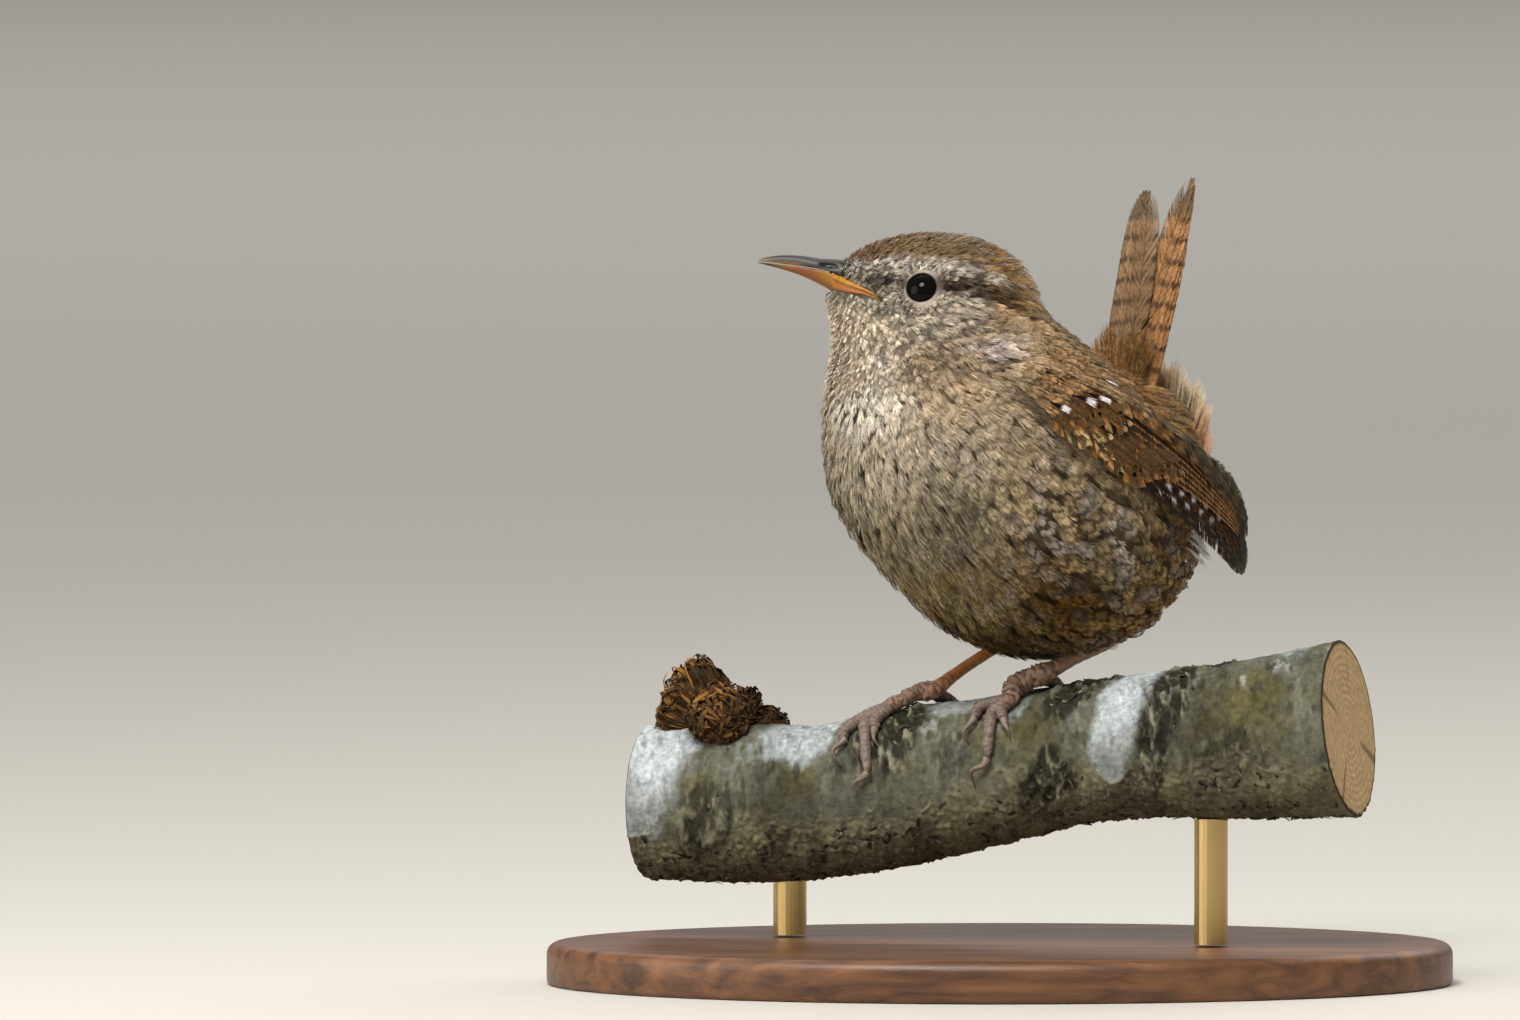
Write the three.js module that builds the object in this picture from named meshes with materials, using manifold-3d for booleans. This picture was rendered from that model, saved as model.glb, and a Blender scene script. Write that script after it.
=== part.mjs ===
// A wren on a short length of birch branch: round body, head turned to its right, tail cocked,
// both wings folded low, and feet that grip the branch. A wooden base and two rods hold the branch.
// Millimetres, +Z up. The origin is the centre of the underside of the base.
// Directions on the bird are (forward, left, up); the yaw turns forward from -X towards -Y.

import * as THREE from 'three';
import { mergeVertices } from 'three/addons/utils/BufferGeometryUtils.js';
import Module from 'manifold-3d';

const wasm = await Module();
wasm.setup();

// Driving dimensions

const GAP = 0.3;

const BODY_YAW = 38;
const HEAD_YAW = 4;
const BODY_CENTRE = [1.4, 1.0, 58.9];
const HEAD_CENTRE = [-7.6, -5.0, 79.9];
const CORE_OFFSET = [3, 0, 5];
const HEAD_CORE_OFFSET = [1, 0, 0];
const HEAD_REACH = 24;
const BODY_REACH = 58;
const HEAD_GRID = 30;
const BODY_GRID = 34;

const BASE_LENGTH = 108;
const BASE_WIDTH = 66;
const BASE_HEIGHT = 5;
const BASE_BEVEL = 1.2;
const ROD_RADIUS = 2;
const ROD_X = [-25, 25];

const PERCH_YAW = 18;
const PERCH_Y = 0.6;
// Stations along the branch: x, height of the centre line, radius.
const PERCH_STATIONS = [
  [-41.7, 20.8, 9.3], [-28.0, 21.0, 9.5], [-20.2, 21.5, 9.2], [-11.9, 23.2, 9.4], [0, 25.6, 8.7],
  [9.5, 27.7, 8.4], [17.9, 28.8, 8.6], [29.8, 29.8, 9.5], [41.1, 31.3, 10.5],
];
const PERCH_RINGS = 24;
const PERCH_SIDES = 20;
const BARK_RELIEF = 0.25;
// The broken twig stub: x of its foot, top [x, z], the radius of both, and the height of its splinters.
const STUB_X = -31.6;
const STUB_TOP = [-34.6, 34.2];
const STUB_RADII = [7.4, 3.0];
const STUB_STATIONS = [0, 0.68, 0.88, 1];
const STUB_SIDES = 10;
const STUB_SPLINTER = 2.8;

const EYE_RADIUS = 2.3;
const LID_OPENING = 1.8;
const LID_THICKNESS = 0.45;
const EYE_FORWARD = 2.5;
const EYE_UP = 3.9;
const LID_SINK = 0.15;

// Stations of the bill on the head's middle plane: forward, ridge, mouth line, lower edge, half width.
const BILL_TIP = [21.4, 6.5];
const BILL_STATIONS = [
  [20.5, 6.95, 6.45, 6.15, 0.35], [18.5, 7.25, 6.2, 5.6, 0.65], [16.1, 7.2, 5.9, 4.8, 1.0],
  [13.6, 6.85, 5.5, 3.6, 1.45], [11.5, 6.7, 4.7, 2.45, 1.9], [7.5, 6.2, 3.2, 1.2, 2.6],
];
const MOUTH_GAP = 0.25;
const NOSTRIL = [12.9, 1.45, 6.0];
const NOSTRIL_SIZE = [1.0, 0.5, 0.28];
// The soft edge of the gape on the face, from the bill to its corner: forward and up.
const GAPE_LINE = [[11.4, 4.6], [10.2, 3.9], [8.6, 3.1], [7.0, 2.25]];
const LIP_RADIUS = 0.42;

// The folded wing lies on an ellipsoid; its chart runs from the wrist to the tip and across.
const WING_CENTRE = [-4, 0, 3];
const WING_PITCH = 35;
const WING_RADII = [31.5, 21.6, 16.2];
const WRIST = [12, 15.5, 13.5];
const WING_TIP = [-27.5, 11, -9.7];
const WING_OUTWARD = [0, 0.9, 0.4];

const TAIL_ROOT = [-14.9, 0, 6.8];
const TAIL_LEAN = 17;
// The feathers of each bunch, from the middle of the tail outwards: place of the root across, tip
// [along, across] and half width. The middle feathers of the left bunch are seen nearly edge on.
const TAIL_LEFT = [
  [4.4, [31.5, 4.7], 1.0], [3.9, [30.7, 4.0], 1.3], [3.4, [29.9, 3.2], 1.5], [2.9, [28.9, 2.6], 1.5],
  [2.6, [27.0, 2.5], 1.5], [3.4, [24.0, 3.3], 1.6],
];
const TAIL_RIGHT = [
  [0.2, [28.5, -0.1], 1.7], [-0.6, [29.4, -1.2], 1.8], [-1.3, [29.7, -2.2], 1.8], [-2.0, [29.3, -3.1], 1.8],
  [-2.6, [28.2, -3.9], 1.7], [-2.9, [26.2, -4.3], 1.5],
];
const TAIL_BASE = 3;
const TAIL_LAYERS = { root: [0.5, -0.2], tip: [0.8, -0.3] };
const TAIL_BACK = -1.4;

// Rows of undertail coverts on the middle plane: root and tip [forward, up], count and spacing.
const UNDERTAIL_ROWS = [
  { root: [-20.5, 3.5], tip: [-25.6, 18.2], count: 4, spacing: 1.7 },
  { root: [-21.5, 2.5], tip: [-27.0, 15.0], count: 4, spacing: 1.7 },
  { root: [-22, 0.5], tip: [-30.2, 11.6], count: 5, spacing: 1.8 },
  { root: [-22.5, -1.5], tip: [-29.8, 8.0], count: 4, spacing: 1.9 },
];
const UNDERTAIL_HALF = 1.4;
const UNDERTAIL_ROUNDING = 9;
const UNDERTAIL_CORE = [[-19, 1], [-23, 6], [-24.3, 10.5]];

const COLOURS = {
  crown: 0x72593f, cheek: 0x97876f, breast: 0xa99a7e, rump: 0x6b5436, wing: 0x5d4527, tail: 0x83603f,
  undertail: 0xb09a7e, billUpper: 0x6d6560, billLower: 0x9b7249, eye: 0x0a0806, leg: 0x8a6a4c,
  foot: 0x7d6f5e, claw: 0x8f8474, bark: 0x9a9a8c, wood: 0x5b3f29, metal: 0xb5b0a4,
};

// Small helpers

const vec = (x, y, z) => new THREE.Vector3(x, y, z);
const radians = THREE.MathUtils.degToRad;
const lerp = THREE.MathUtils.lerp;

function headingFrame(centre, yaw) {
  const turn = radians(yaw);
  const forward = vec(-Math.cos(turn), -Math.sin(turn), 0);
  const left = vec(Math.sin(turn), -Math.cos(turn), 0);
  return new THREE.Matrix4().makeBasis(forward, left, vec(0, 0, 1)).setPosition(...centre);
}

const bodyFrame = headingFrame(BODY_CENTRE, BODY_YAW);
const headFrame = headingFrame(HEAD_CENTRE, HEAD_YAW);
const onBody = (f, l, u) => vec(f, l, u).applyMatrix4(bodyFrame);
const onHead = (f, l, u) => vec(f, l, u).applyMatrix4(headFrame);

function material(colour, roughness = 0.85, metalness = 0) {
  return new THREE.MeshStandardMaterial({ color: colour, roughness, metalness });
}

function seededRandom(seed) {
  let state = seed;
  return () => {
    state = (state * 1664525 + 1013904223) % 4294967296;
    return state / 4294967296;
  };
}

// A closed manifold from a geometry, turned inside out first if its faces point inwards.
function solidFrom(geometry) {
  const bare = geometry.clone();
  for (const name of Object.keys(bare.attributes)) {
    if (name !== 'position') bare.deleteAttribute(name);
  }
  const merged = mergeVertices(bare, 1e-4);
  const points = merged.attributes.position.array;
  const index = merged.index.array;
  const faces = [];
  let volume = 0;
  const a = vec(0, 0, 0);
  const b = vec(0, 0, 0);
  const c = vec(0, 0, 0);
  for (let i = 0; i < index.length; i += 3) {
    const [p, q, r] = [index[i], index[i + 1], index[i + 2]];
    if (p === q || q === r || r === p) continue;
    faces.push([p, q, r]);
    volume += a.fromArray(points, 3 * p).dot(b.fromArray(points, 3 * q).cross(c.fromArray(points, 3 * r)));
  }
  const order = volume < 0 ? faces.map(([p, q, r]) => [p, r, q]) : faces;
  return new wasm.Manifold(new wasm.Mesh({
    numProp: 3, vertProperties: Float32Array.from(points), triVerts: Uint32Array.from(order.flat()),
  }));
}

function largestPiece(solid) {
  return solid.decompose().reduce((best, piece) => (piece.volume() > best.volume() ? piece : best));
}

function node(name, solid, finish) {
  const { vertProperties, triVerts } = largestPiece(solid).getMesh();
  const geometry = new THREE.BufferGeometry();
  geometry.setAttribute('position', new THREE.BufferAttribute(Float32Array.from(vertProperties), 3));
  geometry.setIndex([...triVerts]);
  geometry.computeVertexNormals();
  const mesh = new THREE.Mesh(geometry, finish);
  mesh.name = name;
  return mesh;
}

function unite(solids) {
  return solids.reduce((whole, piece) => whole.add(piece));
}

// A closed skin over rings of equal length. An end may be one point; other ends are fans.
// slant(side) is true where the faces of that strip are cut along the other diagonal.
function loft(rings, slant = () => false) {
  const points = [];
  const faces = [];
  const starts = rings.map((ring) => {
    const start = points.length;
    points.push(...ring);
    return start;
  });
  for (let k = 0; k + 1 < rings.length; k += 1) {
    const [lower, upper] = [starts[k], starts[k + 1]];
    const sides = Math.max(rings[k].length, rings[k + 1].length);
    for (let i = 0; i < sides; i += 1) {
      const j = (i + 1) % sides;
      if (rings[k + 1].length === 1) faces.push([lower + i, lower + j, upper]);
      else if (rings[k].length === 1) faces.push([lower, upper + j, upper + i]);
      else if (slant(i)) faces.push([lower + i, lower + j, upper + i], [lower + j, upper + j, upper + i]);
      else faces.push([lower + i, lower + j, upper + j], [lower + i, upper + j, upper + i]);
    }
  }
  for (const [k, forward] of [[0, false], [rings.length - 1, true]]) {
    const ring = rings[k];
    if (ring.length === 1) continue;
    const centre = ring.reduce((sum, p) => sum.add(p), vec(0, 0, 0)).divideScalar(ring.length);
    points.push(centre);
    const hub = points.length - 1;
    ring.forEach((_, i) => {
      const j = (i + 1) % ring.length;
      faces.push(forward ? [starts[k] + i, starts[k] + j, hub] : [starts[k] + j, starts[k] + i, hub]);
    });
  }
  const geometry = new THREE.BufferGeometry().setFromPoints(points);
  geometry.setIndex(faces.flat());
  return geometry;
}

// A round limb along a smooth curve through points. radiusAt(q) gives its radius, q from 0 to 1.
function limb(points, radiusAt, rings, sides, pointed = false) {
  const curve = new THREE.CatmullRomCurve3(points, false, 'centripetal');
  const frames = curve.computeFrenetFrames(rings, false);
  const hoops = [];
  for (let k = 0; k <= rings; k += 1) {
    const q = k / rings;
    const centre = curve.getPointAt(q);
    if (pointed && k === rings) {
      hoops.push([centre]);
      continue;
    }
    const hoop = [];
    for (let i = 0; i < sides; i += 1) {
      const turn = (2 * Math.PI * i) / sides;
      hoop.push(centre.clone()
        .addScaledVector(frames.normals[k], Math.cos(turn) * radiusAt(q))
        .addScaledVector(frames.binormals[k], Math.sin(turn) * radiusAt(q)));
    }
    hoops.push(hoop);
  }
  return solidFrom(loft(hoops));
}

// The body's form: ellipsoids that blend into one another

function ellipsoid(centre, yaw, pitch, radii, blend) {
  const tilt = radians(pitch);
  const turn = radians(yaw);
  const level = vec(-Math.cos(turn), -Math.sin(turn), 0);
  const left = vec(Math.sin(turn), -Math.cos(turn), 0);
  const forward = level.clone().multiplyScalar(Math.cos(tilt)).add(vec(0, 0, Math.sin(tilt)));
  const up = level.clone().multiplyScalar(-Math.sin(tilt)).add(vec(0, 0, Math.cos(tilt)));
  return { centre, axes: [forward, left, up], radii, blend };
}

const NECK_YAW = (BODY_YAW + HEAD_YAW) / 2;
const NECK_CENTRE = onBody(5, 0, 13).add(onHead(-1, 0, -4)).multiplyScalar(0.5);
const FORM = [
  ellipsoid(onBody(-1, 0, 0.5), BODY_YAW, 38, [23, 20.5, 18], 0),
  ellipsoid(onBody(9.6, 0, 6), BODY_YAW, 80, [15.5, 16, 12.8], 7),
  ellipsoid(onBody(-5, 0, -8.2), BODY_YAW, -5, [14, 15, 10.2], 6),
  ellipsoid(onBody(-13, 0, -3), BODY_YAW, -60, [12, 13.5, 10], 6),
  ellipsoid(onBody(-15, 0, 3.4), BODY_YAW, -50, [10, 10.5, 7.5], 7),
  ellipsoid(NECK_CENTRE, NECK_YAW, 60, [12, 11.5, 10.5], 6),
  ellipsoid(onHead(0.4, 0, 1.2), HEAD_YAW, -10, [10.3, 8.6, 8.7], 5),
  ellipsoid(onHead(6, 0, 2.6), HEAD_YAW, 0, [7, 4.8, 5.4], 4.5),
  ellipsoid(onHead(5.5, 0, -5.5), HEAD_YAW, -60, [8.6, 6.2, 5.6], 5),
];

// Signed distance to the blended form, near enough to a true one close to the surface.
function depth(point) {
  const offset = vec(0, 0, 0);
  let whole = Infinity;
  for (const { centre, axes, radii, blend } of FORM) {
    offset.subVectors(point, centre);
    let near = 0;
    let slope = 0;
    axes.forEach((axis, i) => {
      const reach = offset.dot(axis) / radii[i];
      near += reach * reach;
      slope += (reach / radii[i]) ** 2;
    });
    const k = Math.sqrt(near);
    const distance = (k * (k - 1)) / Math.max(Math.sqrt(slope), 1e-9);
    const merge = Math.max(blend - Math.abs(whole - distance), 0) / (blend || 1);
    whole = Math.min(whole, distance) - (merge * merge * blend) / 4;
  }
  return whole;
}

function outward(point) {
  const step = 0.05;
  const slope = (x, y, z) => depth(point.clone().add(vec(x, y, z))) - depth(point.clone().sub(vec(x, y, z)));
  return vec(slope(step, 0, 0), slope(0, step, 0), slope(0, 0, step)).normalize();
}

// The distance along a ray to the surface at a level: the last crossing, or the first one.
function reachAlong(core, direction, level, reach, firstCrossing) {
  const at = (t) => depth(core.clone().addScaledVector(direction, t)) - level;
  const march = 1;
  let inside = march;
  for (let t = march; t <= reach; t += march) {
    if (at(t) < 0) inside = t;
    else if (firstCrossing) break;
  }
  let [low, high] = [inside, Math.min(inside + march, reach)];
  for (let i = 0; i < 16; i += 1) {
    const middle = (low + high) / 2;
    if (at(middle) < 0) low = middle;
    else high = middle;
  }
  return (low + high) / 2;
}

// The form as seen from a core point: a square grid folded over the sphere of directions.
function formSolid(core, level, reach, grid, firstCrossing) {
  const points = [];
  for (let row = 0; row <= grid; row += 1) {
    for (let column = 0; column <= grid; column += 1) {
      const u = (2 * column) / grid - 1;
      const v = (2 * row) / grid - 1;
      const height = 1 - Math.abs(u) - Math.abs(v);
      const fold = Math.max(-height, 0);
      const x = u - Math.sign(u) * fold;
      const y = v - Math.sign(v) * fold;
      const direction = vec(x, y, height).normalize();
      const distance = reachAlong(core, direction, level, reach, firstCrossing);
      points.push(core.clone().addScaledVector(direction, distance));
    }
  }
  const faces = [];
  for (let row = 0; row < grid; row += 1) {
    for (let column = 0; column < grid; column += 1) {
      const a = row * (grid + 1) + column;
      const [b, c, d] = [a + 1, a + grid + 2, a + grid + 1];
      const sameSign = (column + 0.5 - grid / 2) * (row + 0.5 - grid / 2) > 0;
      faces.push(...(sameSign ? [a, b, d, b, c, d] : [a, b, c, a, c, d]));
    }
  }
  const geometry = new THREE.BufferGeometry().setFromPoints(points);
  geometry.setIndex(faces);
  return solidFrom(geometry);
}

const bodyCore = onBody(...CORE_OFFSET);
const headCore = onHead(...HEAD_CORE_OFFSET);
const bodyForm = formSolid(bodyCore, 0, BODY_REACH, BODY_GRID, false);
const headForm = formSolid(headCore, 0, HEAD_REACH, HEAD_GRID, true);
const clearance = formSolid(bodyCore, GAP, BODY_REACH, BODY_GRID, false);
const headClearance = formSolid(headCore, GAP, HEAD_REACH, HEAD_GRID, true);

// The side of a plane that its normal points to, as a block far larger than the bird.
function beyond(point, normal, shift) {
  const size = 200;
  const geometry = new THREE.BoxGeometry(size, size, size);
  geometry.applyQuaternion(new THREE.Quaternion().setFromUnitVectors(vec(0, 0, 1), normal));
  const centre = point.clone().addScaledVector(normal, size / 2 + shift);
  geometry.translate(centre.x, centre.y, centre.z);
  return solidFrom(geometry);
}

function slopedNormal(yaw, pitch) {
  const turn = radians(yaw);
  const tilt = radians(pitch);
  return vec(-Math.cos(turn) * Math.cos(tilt), -Math.sin(turn) * Math.cos(tilt), Math.sin(tilt));
}

const HEAD_PLANE = { point: vec(-9, -5, 78.5), normal: slopedNormal(HEAD_YAW, 65) };
const NECK_PLANE = { point: vec(-7, -3, 72.5), normal: slopedNormal(NECK_YAW, 60) };
const RUMP_PLANE = { point: onBody(-13, 0, 8.5), normal: slopedNormal(BODY_YAW, 150) };

function above({ point, normal }) {
  return beyond(point, normal, GAP / 2);
}

function below({ point, normal }) {
  return beyond(point, normal.clone().negate(), GAP / 2);
}

// Head: eye sockets, lids and the soft edges of the gape

function eyePlace(side) {
  const middle = onHead(EYE_FORWARD, 0, EYE_UP);
  const sideways = onHead(EYE_FORWARD, side, EYE_UP).sub(middle);
  const reach = reachAlong(middle, sideways, 0, HEAD_REACH, true);
  const surface = middle.clone().addScaledVector(sideways, reach);
  const normal = outward(surface);
  const lidPlane = surface.clone().addScaledVector(normal, -LID_SINK);
  const socket = EYE_RADIUS + GAP;
  const sink = Math.sqrt(socket * socket - LID_OPENING * LID_OPENING);
  return { lidPlane, normal, centre: lidPlane.clone().addScaledVector(normal, -sink) };
}

function ball(centre, radius, segments) {
  const geometry = new THREE.SphereGeometry(radius, segments, segments / 2);
  geometry.translate(centre.x, centre.y, centre.z);
  return solidFrom(geometry);
}

function lidRing({ lidPlane, normal }) {
  const geometry = new THREE.TorusGeometry(LID_OPENING + LID_THICKNESS * 0.8, LID_THICKNESS, 5, 18);
  geometry.applyQuaternion(new THREE.Quaternion().setFromUnitVectors(vec(0, 0, 1), normal));
  geometry.translate(lidPlane.x, lidPlane.y, lidPlane.z);
  return solidFrom(geometry);
}

// A point of the face at a level above the form, found sideways from the middle plane.
function onFace(forward, up, side, level) {
  const middle = onHead(forward, 0, up);
  const sideways = onHead(forward, side, up).sub(middle);
  return middle.addScaledVector(sideways, reachAlong(middle, sideways, level, HEAD_REACH, true));
}

function lips(side, spare) {
  const spacing = 0.85 * LIP_RADIUS;
  return [1, -1].map((way) => {
    const points = GAPE_LINE.map(([f, u], i) => {
      const spread = way * spacing * (1 - (0.7 * i) / (GAPE_LINE.length - 1));
      return onFace(f, u + spread, side, -0.1);
    });
    return limb(points, (q) => (LIP_RADIUS + spare) * (1 - 0.45 * q), 4, 6);
  });
}

// The bill: two mandibles, each a loft of half sections along the head's middle plane

function billSection([forward, ridge, mouth, lower, width], upper) {
  const edge = mouth + (upper ? 1 : -1) * (MOUTH_GAP / 2);
  const top = upper ? ridge : lower;
  const arch = [[1, 0], [0.95, 0.38], [0.62, 0.8], [0, 1], [-0.62, 0.8], [-0.95, 0.38], [-1, 0]];
  return arch.map(([across, rise]) => onHead(forward, across * width, lerp(edge, top, rise)));
}

function mandible(upper) {
  const shift = (upper ? 1 : -1) * (MOUTH_GAP / 2);
  const [tipForward, tipUp] = BILL_TIP;
  const forward = upper ? tipForward : tipForward - 0.45;
  const rings = [[onHead(forward, 0, tipUp + shift)], ...BILL_STATIONS.map((s) => billSection(s, upper))];
  const shape = solidFrom(loft(rings));
  const lipClearance = unite([1, -1].flatMap((side) => lips(side, GAP)));
  return shape.subtract(headClearance).subtract(lipClearance);
}

function nostril(side) {
  const geometry = new THREE.SphereGeometry(1, 10, 6);
  geometry.scale(...NOSTRIL_SIZE);
  geometry.translate(NOSTRIL[0], side * NOSTRIL[1], NOSTRIL[2]);
  geometry.applyMatrix4(headFrame);
  return solidFrom(geometry);
}

// Wings: a chart on an ellipsoid. along runs from the wrist to the tip, across runs upwards.

const wrist = vec(...WRIST);
const wingReach = vec(...WING_TIP).sub(wrist);
const alongWing = wingReach.normalize();
const outwardHint = vec(...WING_OUTWARD);
const offWing = outwardHint.addScaledVector(alongWing, -outwardHint.dot(alongWing)).normalize();
const acrossWing = offWing.clone().cross(alongWing);
const wingCentre = vec(...WING_CENTRE);
const wingTilt = radians(WING_PITCH);
const wingAxes = [
  vec(Math.cos(wingTilt), 0, Math.sin(wingTilt)),
  vec(0, 1, 0),
  vec(-Math.sin(wingTilt), 0, Math.cos(wingTilt)),
];

function wingSheet(along, across, layer, side) {
  const flat = wrist.clone().addScaledVector(alongWing, along).addScaledVector(acrossWing, across);
  flat.sub(wingCentre);
  const reaches = wingAxes.map((axis, i) => flat.dot(axis) / WING_RADII[i]);
  const place = flat.divideScalar(Math.hypot(...reaches));
  const normal = vec(0, 0, 0);
  wingAxes.forEach((axis, i) => normal.addScaledVector(axis, place.dot(axis) / WING_RADII[i] ** 2));
  place.addScaledVector(normal.normalize(), layer).add(wingCentre);
  return onBody(place.x, side * place.y, place.z);
}

// A feather on a sheet. root and tip are places [along, across], half is its half width, lift its
// height off the sheet and under how far it reaches down, both at the root and at the tip. The shaft
// is a low ridge, and both faces are cut along the same diagonals.
const SHAFT_RIDGE = 0.14;
const VANE_THICKNESS = 0.5;
const THIN = [VANE_THICKNESS, VANE_THICKNESS];
// Stations of a feather's outline: the share of its length and of its half width.
const FLIGHT_SHAPE = [[0, 0.6], [0.45, 0.97], [0.92, 0.85]];
const COVERT_SHAPE = [[0, 0.7], [0.74, 1]];

function vane(sheet, { root, tip, half, lift, under = THIN }, shape = COVERT_SHAPE) {
  const [reachAlongSheet, reachAcross] = [tip[0] - root[0], tip[1] - root[1]];
  const length = Math.hypot(reachAlongSheet, reachAcross);
  const place = (q, offset, level) => sheet(
    root[0] + q * reachAlongSheet - (offset * reachAcross) / length,
    root[1] + q * reachAcross + (offset * reachAlongSheet) / length,
    level,
  );
  const rings = shape.map(([q, fullness]) => {
    const wide = half * fullness;
    const top = lerp(...lift, q);
    const bottom = top - lerp(...under, q);
    return [
      place(q, -wide, top), place(q, 0, top + SHAFT_RIDGE), place(q, wide, top),
      place(q, wide, bottom), place(q, 0, bottom), place(q, -wide, bottom),
    ];
  });
  rings.push([place(1, 0, lift[1] - 0.5 * VANE_THICKNESS)]);
  return solidFrom(loft(rings, (i) => i >= 3));
}

function row(count, spec) {
  return Array.from({ length: count }, (_, k) => spec(k));
}

// Rows of wing feathers, from the innermost of each row outwards. Each row gives the first feather's
// root and tip [along, across], the step from one feather to the next, and the half width.
function feathers({ count, root, tip, rootStep, tipStep, half, lift, under = THIN, liftStep = 0 }) {
  return row(count, (k) => ({
    root: [root[0] + rootStep[0] * k, root[1] + rootStep[1] * k],
    tip: [tip[0] + tipStep[0] * k, tip[1] + tipStep[1] * k],
    half,
    lift: [lift[0], lift[1] + liftStep * k],
    under,
  }));
}

const TERTIALS = feathers({
  count: 3, root: [10, 6], rootStep: [1.2, -1.1], tip: [27, 6.1], tipStep: [2.4, -0.9], half: 2.2,
  lift: [0.6, 1.25], liftStep: -0.15, under: [1.5, 1],
});
const SECONDARIES = feathers({
  count: 5, root: [12, 4], rootStep: [0, -0.85], tip: [33.6, 4.2], tipStep: [0.7, -0.8], half: 1.9,
  lift: [0.2, 0.75], liftStep: -0.12, under: [1.2, 0.7],
});
const PRIMARY_TIPS = [38.5, 41, 43.5, 46, 44.2, 40.5];
const PRIMARIES = row(PRIMARY_TIPS.length, (k) => ({
  root: [12, -0.3 - 0.3 * k], tip: [PRIMARY_TIPS[k], 0.5 - 0.38 * k], half: 1.7, lift: [-0.2, 0.12 - 0.1 * k],
}));
const GREATER_COVERTS = feathers({
  count: 5, root: [6.6, -1.2], rootStep: [1.4, 1.5], tip: [12.2, -1.9], tipStep: [1.6, 1.6], half: 1.55,
  lift: [0.6, 1.05], under: [2, 1.5],
});
const PRIMARY_COVERTS = feathers({
  count: 3, root: [9, -1.7], rootStep: [2, 0.3], tip: [15.2, -2.3], tipStep: [2.1, 0.3], half: 1.05,
  lift: [0.2, 0.65], under: [2, 1.5],
});
const MEDIAN_COVERTS = feathers({
  count: 4, root: [4, -0.6], rootStep: [1.6, 1.5], tip: [8.6, -0.8], tipStep: [1.8, 1.65], half: 1.55,
  lift: [0.9, 1.35], under: [2, 1.5],
});
const LESSER_COVERTS = feathers({
  count: 4, root: [-1.2, 0.6], rootStep: [1.5, 1.2], tip: [4.6, 0.2], tipStep: [1.6, 1.45], half: 1.6,
  lift: [0.5, 1.4], under: [2, 2],
});
const SCAPULARS = row(5, (k) => ({
  root: [3.5 + 2.9 * k, 5.6 - 1.5 * (k % 2)], tip: [10.5 + 3.1 * k, 6.9 - 1.5 * (k % 2)], half: 1.75,
  lift: [0.7, 1.25], under: [2.5, 2],
}));

// The flesh and bone under the wing's feathers: along, lower edge, upper edge, underside, upper side.
const WING_CORE = [
  [-1, 0.6, 3.2, -4, -0.6], [5, -1.7, 5.6, -5, 0.8], [16, -2.4, 7.1, -5, 0.6], [25, -2.2, 5.6, -4.5, 0.1],
  [31, -1.9, 3.8, -2.2, -0.2],
];
const WING_CORE_END = [35, 0, -0.35];

function wing(side) {
  const sheet = (along, across, layer) => wingSheet(along, across, layer, side);
  const rings = WING_CORE.map(([along, low, high, under, over]) => {
    const middle = (low + high) / 2;
    return [
      sheet(along, low, over - 0.4), sheet(along, middle, over), sheet(along, high, over - 0.4),
      sheet(along, high, under), sheet(along, middle, under), sheet(along, low, under),
    ];
  });
  rings.push([sheet(...WING_CORE_END)]);
  const flight = [...TERTIALS, ...SECONDARIES, ...PRIMARIES];
  const coverts = [
    ...GREATER_COVERTS, ...PRIMARY_COVERTS, ...MEDIAN_COVERTS, ...LESSER_COVERTS, ...SCAPULARS,
  ];
  return unite([
    solidFrom(loft(rings, (i) => i >= 3)),
    ...flight.map((spec) => vane(sheet, spec, FLIGHT_SHAPE)),
    ...coverts.map((spec) => vane(sheet, spec)),
  ]).subtract(clearance);
}

// Tail: two bunches that part towards their tips, and the fluffed coverts behind them

const tailLean = radians(TAIL_LEAN);
const tailAlong = vec(-Math.sin(tailLean), 0, Math.cos(tailLean));
const tailFace = vec(Math.cos(tailLean), 0, Math.sin(tailLean));

function tailSheet(along, across, layer) {
  const place = vec(...TAIL_ROOT).addScaledVector(tailAlong, along).addScaledVector(tailFace, layer);
  return onBody(place.x, place.y + across, place.z);
}

function tailBunch(feathers) {
  return feathers.map(([across, tip, half], k) => {
    const lift = [TAIL_LAYERS.root, TAIL_LAYERS.tip].map(([first, step]) => first + step * k);
    return vane(tailSheet, { root: [TAIL_BASE, across], tip, half, lift }, FLIGHT_SHAPE);
  });
}

function tail() {
  const root = limb([tailSheet(2, 0, 0), tailSheet(13, 0, 0)], () => 2.2, 2, 8);
  const coverts = row(5, (k) => ({
    root: [7, 0.9 * (k - 2)], tip: [14.5 - Math.abs(k - 2), 1.8 * (k - 2)], half: 1.5,
    lift: [0.7, 1.3], under: [1.5, 0.8],
  }));
  return unite([
    root, ...tailBunch(TAIL_RIGHT), ...tailBunch(TAIL_LEFT), ...coverts.map((spec) => vane(tailSheet, spec)),
  ]).subtract(clearance);
}

// The room that the tail keeps from the coverts behind it.
function tailClearance() {
  const rings = [0, 15, 35].map((along) => {
    const at = (across, layer) => tailSheet(along, across, layer);
    return [at(-9, 3), at(9, 3), at(9, TAIL_BACK - GAP), at(-9, TAIL_BACK - GAP)];
  });
  return solidFrom(loft(rings));
}

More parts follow.
